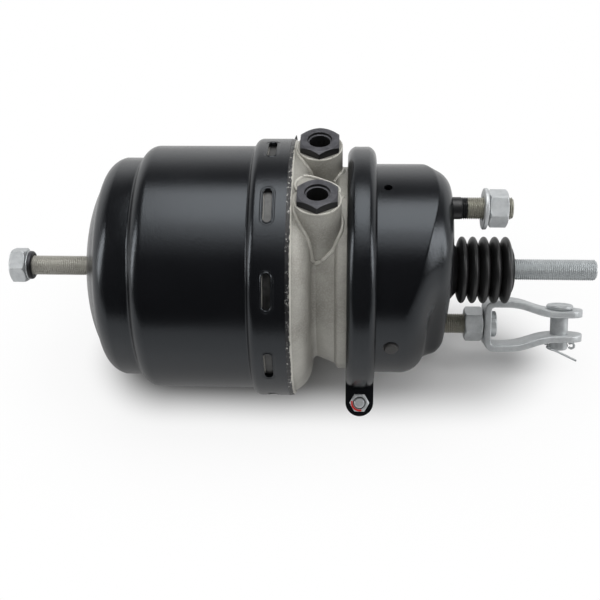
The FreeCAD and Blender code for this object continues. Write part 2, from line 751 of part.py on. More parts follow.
def make_diaphragm():
    """Rubber diaphragm at rest against the cavity, with its clamped bead."""
    slope = "diaphragm_thick * 1.4"
    return revolved("diaphragm", [
        (f"-{DIAPHRAGM_FRONT}", "0"),
        (f"-{DIAPHRAGM_FRONT}", "cavity_radius - diaphragm_thick / 2"),
        (f"-(web_front - cavity_foot - fit_gap)", f"cavity_radius + cavity_flare - {slope}"),
        (f"-({BEAD_REAR} + fit_gap)", f"cavity_mouth_radius - {slope}"),
        (f"-{BEAD_FRONT}", "cavity_mouth_radius"),
        (f"-{BEAD_FRONT}", "lip_radius - fit_gap"),
        (f"-{BEAD_REAR}", "lip_radius - fit_gap"),
        (f"-{BEAD_REAR}", "cavity_mouth_radius - fit_gap"),
        (f"-({BEAD_REAR} + cavity_lead)", "cavity_mouth_radius - cavity_lead - fit_gap"),
        ("-(web_front - cavity_foot)", "cavity_radius + cavity_flare - 1.5 * fit_gap"),
        (f"-{DIAPHRAGM_REAR}", "cavity_radius - fit_gap"),
        (f"-{DIAPHRAGM_REAR}", "0"),
    ])


def make_clamp_ring():
    """Channel ring that squeezes both lips, split at the ears of its one bolt."""
    body = new_body("clamp_ring")
    rear = "-(service_depth + clamp_width / 2)"
    front = "-(service_depth - clamp_width / 2)"
    shoulder = "clamp_radius - clamp_shoulder"
    inner_top = "(clamp_radius - clamp_wall)"
    seat = "(bead_thick / 2 + lip_thick + fit_gap)"
    turned(body, "Revolution", "clamp_form", [
        (rear, "clamp_inner_radius"),
        (rear, shoulder),
        ("-(service_depth + clamp_flat / 2)", "clamp_radius", "-clamp_round"),
        ("-(service_depth - clamp_flat / 2)", "clamp_radius"),
        (front, shoulder, "-clamp_round"),
        (front, "clamp_inner_radius"),
    ])
    ears = outline(body, "ear_outline", "XZ_Plane", [
        (front, f"-({shoulder})"),
        (rear, f"-({shoulder})"),
        (rear, f"-{EAR_BOLT}"),
        (front, f"-{EAR_BOLT}", "half"),
    ], "-(clamp_gap / 2 + ear_thick)")
    feature(body, "Pad", "ears", ears, Length="clamp_gap + 2 * ear_thick")
    doc.recompute()
    before = body.Shape.Volume
    turned(body, "Groove", "clamp_channel", [
        (f"{rear} + clamp_wall", "clamp_inner_radius - 1"),
        (f"{rear} + clamp_wall", "clamp_inner_radius"),
        (f"-(service_depth + {seat})", inner_top),
        (f"-(service_depth - {seat})", inner_top),
        (f"{front} - clamp_wall", "clamp_inner_radius"),
        (f"{front} - clamp_wall", "clamp_inner_radius - 1"),
    ])
    gap = outline(body, "gap_outline", "XZ_Plane", [
        (f"{front} + 1", "-(clamp_inner_radius - 1)"),
        (f"{rear} - 1", "-(clamp_inner_radius - 1)"),
        (f"{rear} - 1", f"-({EAR_BOLT} + clamp_width)"),
        (f"{front} + 1", f"-({EAR_BOLT} + clamp_width)"),
    ], "clamp_gap / 2")
    feature(body, "Pocket", "clamp_split", gap, Length="clamp_gap")
    hole = circle_sketch(body, "ear_hole_outline", "XZ_Plane", [
        ("-service_depth", f"-{EAR_BOLT}", "clamp_bolt_radius + fit_gap"),
    ], "clamp_gap / 2 + ear_thick + 1")
    feature(body, "Pocket", "ear_holes", hole, Length="clamp_gap + 2 * ear_thick + 2")
    cut_check(body, before, "the clamp's channel")
    return turn_about_x(body, "clamp_turn")


def make_clamp_bolt():
    outward = FreeCAD.Rotation(V(1, 0, 0), 90)
    ear_face = "(clamp_gap / 2 + ear_thick)"
    head = hex_prism("clamp_bolt_head", "clamp_bolt_flats", "clamp_head_height")
    place(head, "-service_depth", f"{ear_face} + clamp_head_height", f"-{EAR_BOLT}", outward)
    shank = cylinder("clamp_bolt_shank", "clamp_bolt_radius",
                     f"2 * {ear_face} + clamp_nut_height + clamp_bolt_end")
    place(shank, "-service_depth", ear_face, f"-{EAR_BOLT}", outward)
    bolt = combined("Fuse", "clamp_bolt", head, shank)
    outer = hex_prism("clamp_nut_hexagon", "clamp_bolt_flats", "clamp_nut_height")
    bore = cylinder("clamp_nut_bore", "clamp_bolt_radius + thread_gap", "clamp_nut_height + 2")
    place(bore, z="-1")
    nut = combined("Cut", "clamp_nut_blank", outer, bore)
    place(nut, "-service_depth", f"-{ear_face}", f"-{EAR_BOLT}", outward)
    holder = doc.addObject("Part::Compound", "clamp_nut")
    holder.Links = [nut]
    return [turn_about_x(bolt, "clamp_turn"), turn_about_x(holder, "clamp_turn")]


def make_stud_plate():
    """Plate inside the cup that carries both studs and the rod guide."""
    body = new_body("stud_plate")
    form = outline(body, "plate_outline", "YZ_Plane", pad_steps("stud_plate_inset"), "-steel_wall")
    feature(body, "Pad", "plate_form", form, Length="stud_plate_thick", Reversed=True)
    holes = circle_sketch(body, "plate_hole_outline", "YZ_Plane", [
        ("0", "0", "guide_radius + fit_gap"),
        ("0", STUD_Z, "stud_radius + thread_gap"),
        ("0", f"-{STUD_Z}", "stud_radius + thread_gap"),
    ], "-steel_wall")
    feature(body, "Pocket", "plate_holes", holes, Length="stud_plate_thick + 1")
    return body


def make_stud(name, z):
    """Mounting stud with its head behind the plate."""
    stud = revolved(name, [
        (f"-({STUD_PLATE_REAR} + stud_head_height)", "0"),
        (f"-({STUD_PLATE_REAR} + stud_head_height)", "stud_head_radius"),
        (f"-{STUD_PLATE_REAR}", "stud_head_radius"),
        (f"-{STUD_PLATE_REAR}", "stud_radius"),
        ("stud_reach - stud_chamfer", "stud_radius"),
        ("stud_reach", "stud_radius - stud_chamfer"),
        ("stud_reach", "0"),
    ])
    return place(stud, z=z)


def make_mounting_nut(name, start, z):
    outer = hex_prism(name + "_hexagon", "nut_flats", "nut_height")
    bore = cylinder(name + "_bore", "stud_radius + thread_gap", "nut_height + 2")
    place(bore, z="-1")
    nut = combined("Cut", name, outer, bore)
    turn = ALONG_X.multiply(FreeCAD.Rotation(V(0, 0, 1), size_of("nut_turn")))
    return place(nut, start, z=z, rotation=turn)


def make_washer():
    outer = cylinder("washer_outer", "washer_radius", "washer_thick")
    bore = cylinder("washer_bore", "washer_hole_radius", "washer_thick + 2")
    place(bore, z="-1")
    washer = combined("Cut", "mounting_washer_upper", outer, bore)
    tilt = FreeCAD.Rotation(V(0, 1, 0), 90 + size_of("washer_tilt"))
    return place(washer, "washer_start", z=f"{STUD_Z} - 0.4", rotation=tilt)


def make_bellows():
    """Rubber boot between the mounting face and the push rod."""
    fold = "bellows_crest_radius - bellows_valley_radius"
    lean = size_of(f"sqrt((bellows_pitch / 2) ^ 2 + ({fold}) ^ 2) / (bellows_pitch / 2)")
    depth = f"(bellows_wall * {lean:.3f})"
    outer = [("bellows_base_thick", "bellows_base_radius"),
             ("bellows_base_thick + bellows_wall / 2", "bellows_base_radius - bellows_wall")]
    inner = []
    for number in range(int(size_of("bellows_crests"))):
        crest = f"(bellows_first_crest + {number} * bellows_pitch)"
        outer.append((f"{crest} - bellows_pitch / 2", "bellows_valley_radius"))
        outer.append((f"{crest} - bellows_tip", "bellows_crest_radius"))
        outer.append((f"{crest} + bellows_tip", "bellows_crest_radius"))
        inner.append((f"{crest} - bellows_pitch / 2", f"bellows_valley_radius - {depth}"))
        inner.append((crest, f"bellows_crest_radius - {depth}"))
    outer.append((BELLOWS_END, "rod_radius + bellows_neck_wall"))
    outer.append((BELLOWS_END, "rod_radius + fit_gap"))
    inner.append((f"{BELLOWS_END} - bellows_neck_length", "rod_radius + fit_gap"))
    inner.reverse()
    base = [("thread_gap", "bellows_valley_radius"), ("thread_gap", "bellows_base_radius")]
    return revolved("bellows", outer + inner + base)


def make_piston():
    """Spring piston with its seal and guide ring grooves and the bore for the release bolt."""
    body = new_body("spring_piston")
    outer = "(bore_radius - fit_gap)"
    turned(body, "Revolution", "piston_form", [
        (f"-{PISTON_REAR}", "bolt_radius + 2 * fit_gap"),
        (f"-{PISTON_FRONT}", "bolt_radius + 2 * fit_gap"),
        (f"-{PISTON_FRONT}", f"{outer} - piston_edge"),
        (f"-({PISTON_FRONT} + piston_edge)", outer),
        (f"-{PISTON_REAR}", outer),
    ])
    made = [body]
    for name, back, width in (("piston_seal", "piston_seal_back", "piston_seal_width"),
                              ("piston_guide_ring", "guide_ring_back", "guide_ring_width")):
        rear = f"({PISTON_FRONT} + {back} + {width})"
        front = f"({PISTON_FRONT} + {back})"
        turned(body, "Groove", name + "_groove", [
            (f"-{rear}", f"{outer} - ring_depth"),
            (f"-{front}", f"{outer} - ring_depth"),
            (f"-{front}", f"{outer} + 1"),
            (f"-{rear}", f"{outer} + 1"),
        ])
        made.append(ring(name, f"-({rear} - thread_gap)", f"-({front} + thread_gap)",
                         f"{outer} - ring_depth + thread_gap", outer))
    return made


def make_tube():
    """Steel tube that passes the piston's push through the web, and its end cap."""
    cap_rear = "(web_front + tube_cap_thick)"
    tube = ring("piston_tube", f"-{PISTON_FRONT}", f"-{cap_rear}", "tube_radius - tube_wall", "tube_radius")
    cap = revolved("tube_cap", [
        ("-web_front", "0"),
        ("-web_front", "tube_radius"),
        (f"-{cap_rear}", "tube_radius"),
        (f"-{cap_rear}", "tube_radius - tube_wall - thread_gap"),
        (f"-({cap_rear} + tube_cap_plug)", "tube_radius - tube_wall - thread_gap"),
        (f"-({cap_rear} + tube_cap_plug)", "0"),
    ])
    return [tube, cap]


def make_push_rod():
    """Pressed plate behind the diaphragm and the rod that it pushes, threaded past the boot."""
    plate = revolved("push_plate", [
        (f"-{PLATE_REAR}", "0"),
        (f"-{PLATE_REAR}", "plate_radius - plate_edge"),
        (f"-({PLATE_REAR} - plate_edge)", "plate_radius", "-plate_edge"),
        (f"-{PLATE_FRONT}", "plate_radius"),
        (f"-{PLATE_FRONT}", "rod_radius + plate_socket_wall"),
        (f"-({PLATE_FRONT} - plate_socket_depth)", "rod_radius + plate_socket_wall"),
        (f"-({PLATE_FRONT} - plate_socket_depth)", "rod_radius"),
        (f"-{PLATE_FRONT}", "rod_radius"),
        (f"-{PLATE_FRONT}", "0"),
    ])
    rod = revolved("push_rod", [
        (f"-{PLATE_FRONT}", "0"),
        (f"-{PLATE_FRONT}", "rod_radius"),
        (BELLOWS_END, "rod_radius"),
        (BELLOWS_END, "rod_thread_radius"),
        ("rod_reach - rod_chamfer", "rod_thread_radius"),
        ("rod_reach", "rod_thread_radius - rod_chamfer"),
        ("rod_reach", "0"),
    ])
    return [plate, rod]


def make_release_bolt():
    """Bolt wound out of the rear recess, its washer, and the nut that holds the piston back."""
    tip = f"({PISTON_FRONT} - fit_gap - cage_nut_height - 1)"
    head = hex_prism("release_bolt_head", "bolt_flats", "bolt_head_height")
    place(head, f"-({BOLT_HEAD_FRONT} + bolt_head_height)", rotation=ALONG_X)
    shank = cylinder("release_bolt_shank", "bolt_radius", f"{BOLT_HEAD_FRONT} - {tip}")
    place(shank, f"-{BOLT_HEAD_FRONT}", rotation=ALONG_X)
    bolt = combined("Fuse", "release_bolt", head, shank)
    washer = ring("release_washer", f"-{BOLT_HEAD_FRONT}", f"-{WASHER_FRONT}",
                  "bolt_radius + thread_gap", "release_washer_radius")
    nut = ring("cage_nut", f"-({PISTON_FRONT} - fit_gap)", f"-({PISTON_FRONT} - fit_gap - cage_nut_height)",
               "bolt_radius + thread_gap", "cage_nut_radius")
    return [bolt, washer, nut]


def make_clevis():
    """Forked strip with joggled arms, its bush, and the holes for the pin."""
    body = new_body("clevis")
    base_half = "(clevis_outer_base / 2)"
    end_half = "(clevis_gap / 2 + clevis_strip)"
    joggle = [(f"{CLEVIS_BASE} + clevis_bend_start", base_half),
              (f"{CLEVIS_BASE} + clevis_bend_end", end_half)]
    inner_joggle = [(f"{x} - 1", f"{z} - clevis_strip") for x, z in joggle]
    inner_base = f"{CLEVIS_BASE} + clevis_strip"
    soft = "(clevis_corner - clevis_strip)"
    upper = [(f"{CLEVIS_BASE} + clevis_corner", base_half, "-clevis_corner"), *joggle,
             (CLEVIS_END, end_half), (CLEVIS_END, "clevis_gap / 2"), *reversed(inner_joggle),
             (f"{inner_base} + {soft}", f"{base_half} - clevis_strip"),
             (inner_base, f"{base_half} - clevis_corner", soft)]
    steps = [(CLEVIS_BASE, f"-({base_half} - clevis_corner)", "-clevis_corner"),
             (CLEVIS_BASE, f"{base_half} - clevis_corner"), *upper,
             (inner_base, f"-({base_half} - clevis_corner)"),
             (f"{inner_base} + {soft}", f"-({base_half} - clevis_strip)", soft)]
    steps += [(x, f"-({z})") for x, z in inner_joggle]
    steps += [(CLEVIS_END, "-clevis_gap / 2"), (CLEVIS_END, f"-{end_half}")]
    steps += [(x, f"-({z})") for x, z in reversed(joggle)]
    steps += [(f"{CLEVIS_BASE} + clevis_corner", f"-{base_half}")]
    side = outline(body, "clevis_side", "XZ_Plane", steps, "clevis_width / 2")
    feature(body, "Pad", "clevis_strip_form", side, Length="clevis_width", Reversed=True)
    doc.recompute()
    before = body.Shape.Volume
    middle = f"{CLEVIS_END} - clevis_width / 2"
    corner = outline(body, "arm_end_outline", "XY_Plane", [
        (middle, "clevis_width / 2 + 1"),
        (f"{CLEVIS_END} + 1", "clevis_width / 2 + 1"),
        (f"{CLEVIS_END} + 1", "-(clevis_width / 2 + 1)"),
        (middle, "-(clevis_width / 2 + 1)"),
        (middle, "-clevis_width / 2"),
        (middle, "clevis_width / 2", "half"),
    ], f"{base_half} + 1")
    feature(body, "Pocket", "arm_ends", corner, Length="clevis_outer_base + 2")
    hole = circle_sketch(body, "pin_hole_outline", "XY_Plane", [(PIN_X, "0", "pin_radius + pin_gap")],
                         f"{base_half} + 1")
    feature(body, "Pocket", "pin_holes", hole, Length="clevis_outer_base + 2")
    seat = circle_sketch(body, "bush_seat_outline", "YZ_Plane",
                         [("0", "0", "stud_radius + clevis_bush_wall + thread_gap")],
                         f"{inner_base} + 1")
    feature(body, "Pocket", "bush_seat", seat, Length="clevis_strip + 2")
    cut_check(body, before, "the clevis holes")
    bush = revolved("clevis_bush", [
        (CLEVIS_BASE, "stud_radius + thread_gap"),
        (f"{inner_base} + clevis_bush_reach", "stud_radius + thread_gap"),
        (f"{inner_base} + clevis_bush_reach", "clevis_bush_radius"),
        (inner_base, "clevis_bush_radius"),
        (inner_base, "stud_radius + clevis_bush_wall"),
        (CLEVIS_BASE, "stud_radius + clevis_bush_wall"),
    ])
    place(bush, z=f"-{STUD_Z}")
    turn_about_x(body, "clevis_turn")
    body.setExpression("Placement.Base.z", bound(f"-{STUD_Z}"))
    return [body, bush]


def make_clevis_pin():
    """Headed pin through both arms, drilled for its cotter."""
    top = "(clevis_gap / 2 + clevis_strip + fit_gap)"
    shank = cylinder("clevis_pin_shank", "pin_radius", f"{top} + clevis_gap / 2 + clevis_strip + pin_tail")
    place(shank, PIN_X, z="-(clevis_gap / 2 + clevis_strip + pin_tail)")
    head = cylinder("clevis_pin_head", "pin_head_radius", "pin_head_height")
    place(head, PIN_X, z=top)
    solid = combined("Fuse", "clevis_pin_solid", head, shank)
    hole = cylinder("cotter_hole", "cotter_wire / 2 + thread_gap", "2 * pin_radius + 4")
    place(hole, f"{PIN_X} - pin_radius - 2", z=COTTER_Z, rotation=ALONG_X)
    pin = combined("Cut", "clevis_pin", solid, hole)
    return turn_about_x(pin, "clevis_turn")


def bent_wire(points, radius):
    """Eight-sided wire along straight runs, with mitred corners."""
    path = Part.makePolygon(points)
    run = points[1] - points[0]
    turn = FreeCAD.Rotation(V(0, 0, 1), run)
    corners = []
    for corner in range(9):
        angle = math.radians(corner * 45)
        corners.append(points[0] + turn.multVec(V(radius * math.cos(angle), radius * math.sin(angle), 0)))
    return path.makePipeShell([Part.makePolygon(corners)], True, False, 1)


def make_cotter():
    """Split pin: eye on one side, a short leg, and a long leg bent round the pin's end."""
    x = size_of(PIN_X)
    z = size_of(COTTER_Z)
    pin = size_of("pin_radius")
    thick = size_of("cotter_wire") / 2
    eye = size_of("cotter_loop_radius") - thick
    leg = size_of("cotter_leg")
    neck = V(x + pin + size_of("cotter_neck"), 0, z)
    exit_point = V(x - pin - size_of("cotter_neck"), 0, z)
    loop = []
    for number in range(11):
        angle = math.radians(150 - number * 30)
        loop.append(neck + V(eye + eye * math.cos(angle), 0, eye * math.sin(angle)))
    round_eye = bent_wire([neck, *loop, neck + V(0, 0, -thick / 2)], thick)
    straight = bent_wire([neck, exit_point], thick)
    short_end = exit_point + V(-size_of("cotter_short_leg"), 0, thick)
    short_leg = bent_wire([exit_point + V(thick, 0, 0), short_end], thick * 0.8)
    wrap = pin + thick + size_of("cotter_neck")
    turn_point = V(x - pin * 0.75, -wrap, z - thick * 1.4)
    slope = V(0.9, 0, -0.44)
    long_leg = bent_wire([exit_point, exit_point + V(-thick, -wrap / 2, -thick / 2), turn_point,
                          turn_point + slope * leg], thick * 0.8)
    shape = straight.fuse([round_eye, short_leg, long_leg]).removeSplitter()
    cotter = doc.addObject("Part::Feature", "cotter_pin")
    cotter.Shape = shape
    return turn_about_x(cotter, "clevis_turn")


pieces.append(make_spring_housing())
pieces.append(ring("bolt_boss", f"-({RECESS_FLOOR} - steel_wall)",
                   f"-({RECESS_FLOOR} - steel_wall - bolt_boss_length)",
                   "bolt_radius + fit_gap", "bolt_boss_radius"))
pieces.append(make_centre_flange())
for name, station, width, depth in (("lock_ring", SLOT_STATION, "lock_ring_width", "lock_ring_height"),
                                    ("housing_seal", SEAL_STATION, "housing_seal_width", "ring_depth")):
    pieces.append(ring(name, f"-({station} + {width} / 2 - thread_gap)",
                       f"-({station} - {width} / 2 + thread_gap)",
                       f"{BAND_INNER} - {depth}", f"{BAND_INNER} - thread_gap"))
SEAL_REAR = f"({HUB_REAR} - fit_gap - bush_seal_width)"
SEAL_FRONT = "(web_front + fit_gap + bush_seal_width)"
BUSH_BORE = "tube_radius + fit_gap"
BUSH_SEAT = "bush_radius - thread_gap"
pieces.append(ring("tube_seal_rear", f"-({HUB_REAR} - fit_gap)", f"-{SEAL_REAR}", BUSH_BORE, BUSH_SEAT))
pieces.append(ring("tube_bush", f"-({SEAL_REAR} - fit_gap)", f"-({SEAL_FRONT} + fit_gap)",
                   BUSH_BORE, BUSH_SEAT))
pieces.append(ring("tube_seal_front", f"-{SEAL_FRONT}", "-(web_front + fit_gap)", BUSH_BORE, BUSH_SEAT))
pieces.append(make_port_adapter("service_port_adapter", "-port_spread"))
pieces.append(make_port_adapter("parking_port_adapter", "port_spread"))
pieces.append(make_diaphragm())
pieces.append(make_clamp_ring())
pieces.extend(make_clamp_bolt())
pieces.append(make_service_housing())
pieces.append(make_vent_plugs())
pieces.append(make_stud_plate())
pieces.append(revolved("rod_guide", [
    (f"-({STUD_PLATE_REAR} + guide_flange_thick)", "rod_radius + guide_bore_gap"),
    ("-guide_sink", "rod_radius + guide_bore_gap"),
    ("-guide_sink", "guide_radius"),
    (f"-{STUD_PLATE_REAR}", "guide_radius"),
    (f"-{STUD_PLATE_REAR}", "guide_flange_radius"),
    (f"-({STUD_PLATE_REAR} + guide_flange_thick)", "guide_flange_radius"),
]))
pieces.append(make_stud("mounting_stud_upper", STUD_Z))
pieces.append(make_stud("mounting_stud_lower", f"-{STUD_Z}"))
pieces.append(make_mounting_nut("mounting_nut_upper", "upper_nut_start", STUD_Z))
pieces.append(make_mounting_nut("mounting_nut_lower", "lower_nut_start", f"-{STUD_Z}"))
pieces.append(make_washer())
pieces.append(make_bellows())
pieces.extend(make_piston())
pieces.extend(make_tube())
pieces.append(helix_spring("power_spring", f"-({REAR_END} - steel_wall - power_wire / 2 - power_rear_drop)",
                           f"-({PISTON_REAR} + power_wire / 2 + fit_gap)",
                           "power_rear_radius", "power_front_radius", "power_turns", "power_wire"))
pieces.extend(make_push_rod())
pieces.append(helix_spring("return_spring", f"-({PLATE_FRONT} - return_wire / 2 - fit_gap)",
                           f"-({STUD_PLATE_REAR} + return_wire / 2 + fit_gap)",
                           "return_rear_radius", "return_front_radius", "return_turns", "return_wire"))
pieces.extend(make_release_bolt())
pieces.extend(make_clevis())
pieces.append(make_clevis_pin())
pieces.append(make_cotter())
for name in ("clevis_pin", "cotter_pin"):
    doc.getObject(name).setExpression("Placement.Base.z", bound(f"-{STUD_Z}"))

doc.recompute()
for item in doc.Objects:
    if "Invalid" in item.State or "Error" in item.State:
        raise RuntimeError(f"{item.Label} failed: {item.State}")
for piece in pieces:
    if piece.Shape.isNull() or not piece.Shape.isValid() or piece.Shape.Volume <= 0:
        raise RuntimeError(f"{piece.Label} has no valid shape")
for piece in pieces:
    piece.Shape.exportStep(f"parts/{piece.Label}.step")
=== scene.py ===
import json
import math

import bmesh
import bpy
import numpy as np
from mathutils import Matrix


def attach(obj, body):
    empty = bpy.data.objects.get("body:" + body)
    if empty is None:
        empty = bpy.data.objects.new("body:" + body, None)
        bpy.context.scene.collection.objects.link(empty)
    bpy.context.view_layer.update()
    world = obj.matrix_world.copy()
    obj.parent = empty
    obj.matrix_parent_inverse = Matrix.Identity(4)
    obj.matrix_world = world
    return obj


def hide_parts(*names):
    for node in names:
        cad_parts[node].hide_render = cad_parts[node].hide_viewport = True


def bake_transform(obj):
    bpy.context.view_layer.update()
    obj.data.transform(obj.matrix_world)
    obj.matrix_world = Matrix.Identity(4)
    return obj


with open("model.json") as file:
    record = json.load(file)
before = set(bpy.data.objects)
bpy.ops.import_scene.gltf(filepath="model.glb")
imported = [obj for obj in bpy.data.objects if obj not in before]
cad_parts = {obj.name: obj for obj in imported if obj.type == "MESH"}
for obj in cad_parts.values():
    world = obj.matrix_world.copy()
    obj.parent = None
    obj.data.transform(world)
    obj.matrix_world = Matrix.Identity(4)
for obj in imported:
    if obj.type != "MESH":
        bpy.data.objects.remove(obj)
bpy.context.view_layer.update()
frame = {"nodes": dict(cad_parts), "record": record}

# Air brake chamber: X runs out along the push rod, the studs stand on the Z axis, and the origin is
# the middle of the mounting face. Lengths in this script are millimetres until a mesh is made.
MM = 0.001
TAU = 2 * math.pi
STUD_Z = 60.325
PITCH = 1.5
BAND = 97.5
ALONG_X = np.array([[0, 0, 1], [0, 1, 0], [-1, 0, 0]], float)
UPRIGHT = np.eye(3)


# Surfaces: each is (points, faces), worked out as whole arrays


def grid(points, loop_u=False, loop_v=False):
    """Quads over points[u, v]: each cell joins four neighbours, and a loop joins its last row to its first."""
    count_u, count_v = points.shape[:2]
    index = np.arange(count_u * count_v).reshape(count_u, count_v)
    if loop_u:
        index = np.vstack([index, index[:1]])
    if loop_v:
        index = np.hstack([index, index[:, :1]])
    corners = [index[:-1, :-1], index[1:, :-1], index[1:, 1:], index[:-1, 1:]]
    return points.reshape(-1, 3), np.stack(corners, -1).reshape(-1, 4)


def joined(*surfaces):
    """Several surfaces as one, their faces counted on."""
    starts = np.cumsum([0] + [len(points) for points, faces in surfaces[:-1]])
    return (np.concatenate([points for points, faces in surfaces]),
            np.concatenate([faces + start for start, (points, faces) in zip(starts, surfaces)]))


def placed(surface, turn=UPRIGHT, at=(0, 0, 0)):
    """A surface turned about the origin, then moved."""
    points, faces = surface
    return points @ np.asarray(turn).T + np.asarray(at, float), faces


def turn_x(degrees):
    """A turn about X."""
    angle = math.radians(degrees)
    return np.array([[1, 0, 0], [0, math.cos(angle), -math.sin(angle)], [0, math.sin(angle), math.cos(angle)]])


def spin(degrees):
    """A turn about Z."""
    angle = math.radians(degrees)
    return np.array([[math.cos(angle), -math.sin(angle), 0], [math.sin(angle), math.cos(angle), 0], [0, 0, 1]])


def bent(*steps):
    """A profile from steps (x, r), reached by a straight line, or (x, r, radius), reached by an arc about a
    centre to the left of the way, or to its right where the radius is negative."""
    points = [np.array([steps[0][:2]], float)]
    for step in steps[1:]:
        start, end = points[-1][-1], np.array(step[:2], float)
        if len(step) == 2:
            points.append(end[None])
            continue
        chord = end - start
        length = np.linalg.norm(chord)
        rise = math.copysign(math.sqrt(max(step[2] ** 2 - length ** 2 / 4, 0)), step[2])
        centre = start + chord / 2 + np.array([-chord[1], chord[0]]) / length * rise
        first, last = (math.atan2(spot[1] - centre[1], spot[0] - centre[0]) for spot in (start, end))
        turn = (last - first + math.pi) % TAU - math.pi
        angle = first + turn * np.linspace(0, 1, 11)[1:]
        points.append(centre + abs(step[2]) * np.stack([np.cos(angle), np.sin(angle)], 1))
    return np.concatenate(points)


def turned(profile, turns=240, start=0.0, loop=False):
    """A profile of (x, r) turned about the chamber's axis: (x, r sin a, -r cos a)."""
    angle = start + np.linspace(0, TAU, turns, endpoint=False)[:, None]
    x, r = np.asarray(profile, float).T
    points = np.stack([x + 0 * angle, r * np.sin(angle), -r * np.cos(angle)], -1)
    return grid(points, loop_u=True, loop_v=loop)


def ragged(count, turns, size, seed):
    """A closed ring of random heights at count places, joined by straight lines and read at turns angles."""
    knots = np.random.default_rng(seed).uniform(-size, size, count)
    return np.interp(np.linspace(0, count, turns, endpoint=False), np.arange(count + 1), np.append(knots, knots[0]))


def soft_least(first, second, blend):
    """The lesser of two distances, rounded off where they are nearly equal."""
    share = np.clip(0.5 + 0.5 * (second - first) / blend, 0, 1)
    return second * (1 - share) + first * share - blend * share * (1 - share)


def lathe(profile, turns=192, loop=False):
    """A profile of (radius, height) turned about Z: (r cos a, r sin a, h)."""
    angle = np.linspace(0, TAU, turns, endpoint=False)[:, None]
    radius, height = np.asarray(profile, float).T
    points = np.stack([radius * np.cos(angle), radius * np.sin(angle), height + 0 * angle], -1)
    return grid(points, loop_u=True, loop_v=loop)


def eased(corners, sizes, steps=5, loop=True):
    """A polyline with soft corners: each corner is left and rejoined one size away, along a parabola
    (1-t)^2 start + 2t(1-t) corner + t^2 end."""
    corner = np.asarray(corners, float)
    before = np.roll(corner, 1, 0) - corner
    after = np.roll(corner, -1, 0) - corner
    if not loop:
        before[0] = 0
        after[-1] = 0
    room = [np.linalg.norm(side, axis=1, keepdims=True) for side in (before, after)]
    size = np.broadcast_to(np.asarray(sizes, float).reshape(-1, 1), (len(corner), 1))
    cut = [np.minimum(size, 0.48 * length) / np.maximum(length, 1e-9) for length in room]
    start, end = corner + before * cut[0], corner + after * cut[1]
    t = np.linspace(0, 1, steps)[None, :, None]
    curve = (1 - t) ** 2 * start[:, None] + 2 * t * (1 - t) * corner[:, None] + t ** 2 * end[:, None]
    return curve.reshape(-1, corner.shape[1])


def hexagon(flats, height, bore=0.0, cone=0.97):
    """A nut or bolt head about Z. The side at angle a is flats/2 over cos of the angle from the flat's
    middle, and a 30 degree cone from cone x flats/2 cuts each end, so its drop grows with the radius."""
    angle = np.radians(np.arange(0, 360, 2.0))[:, None]
    side = flats / 2 / np.cos((angle % (TAU / 6)) - TAU / 12)
    ring = flats / 2 * cone + 0 * side
    drop = (side - ring) * math.tan(math.radians(30))
    inner = 0 * side + bore
    radii = [inner, ring, side, side, ring, inner]
    heights = [0 * side, 0 * side, drop, height - drop, height + 0 * side, height + 0 * side]
    radius, level = np.hstack(radii), np.hstack(heights)
    points = np.stack([radius * np.cos(angle), radius * np.sin(angle), level], -1)
    return grid(points, loop_u=True, loop_v=bore > 0)


def threaded(stations, radii, start, end, pitch=PITCH, depth=0.85, turns=40):
    """A round bar about Z with a helical thread between two stations.

    The radius is the bar's own, from its stations, less depth x |2 frac(z/pitch - a/360) - 1|, so a
    crest winds up one pitch a turn. The groove fades in over one pitch at both ends of the thread.
    """
    fine = np.arange(start - pitch, end + pitch, pitch / 8)
    level = np.unique(np.concatenate([np.asarray(stations, float), fine[(fine > stations[0]) & (fine < stations[-1])]]))
    angle = np.linspace(0, TAU, turns, endpoint=False)[:, None]
    bar = np.interp(level, stations, radii)
    wave = np.abs(2 * ((level / pitch - angle / TAU) % 1) - 1)
    fade = np.clip((level - start) / pitch + 0.5, 0, 1) * np.clip((end - level) / pitch + 0.5, 0, 1)
    groove = depth * fade * wave
    radius = np.where(bar > 0, np.maximum(bar - groove, 0), 0)
    points = np.stack([radius * np.cos(angle), radius * np.sin(angle), level + 0 * angle], -1)
    return grid(points, loop_u=True)


def tube(path, radius, sides=12, loop=False):
    """A round wire along a path: at each point a circle across the path's own direction."""
    path = np.asarray(path, float)
    if loop:
        along = np.roll(path, -1, 0) - np.roll(path, 1, 0)
    else:
        along = np.gradient(path, axis=0)
    along /= np.linalg.norm(along, axis=1, keepdims=True)
    helper = np.where(np.abs(along[:, :1]) < 0.8, [[1.0, 0, 0]], [[0, 1.0, 0]])
    across = np.cross(along, helper)
    across /= np.linalg.norm(across, axis=1, keepdims=True)
    other = np.cross(along, across)
    angle = np.linspace(0, TAU, sides, endpoint=False)[None, :, None]
    size = np.broadcast_to(np.asarray(radius, float).reshape(-1, 1, 1), (len(path), 1, 1))
    points = path[:, None] + size * (across[:, None] * np.cos(angle) + other[:, None] * np.sin(angle))
    if not loop:
        first = np.repeat(path[:1, None], sides, 1)
        last = np.repeat(path[-1:, None], sides, 1)
        points = np.concatenate([first, points, last])
    return grid(points, loop_u=loop, loop_v=True)


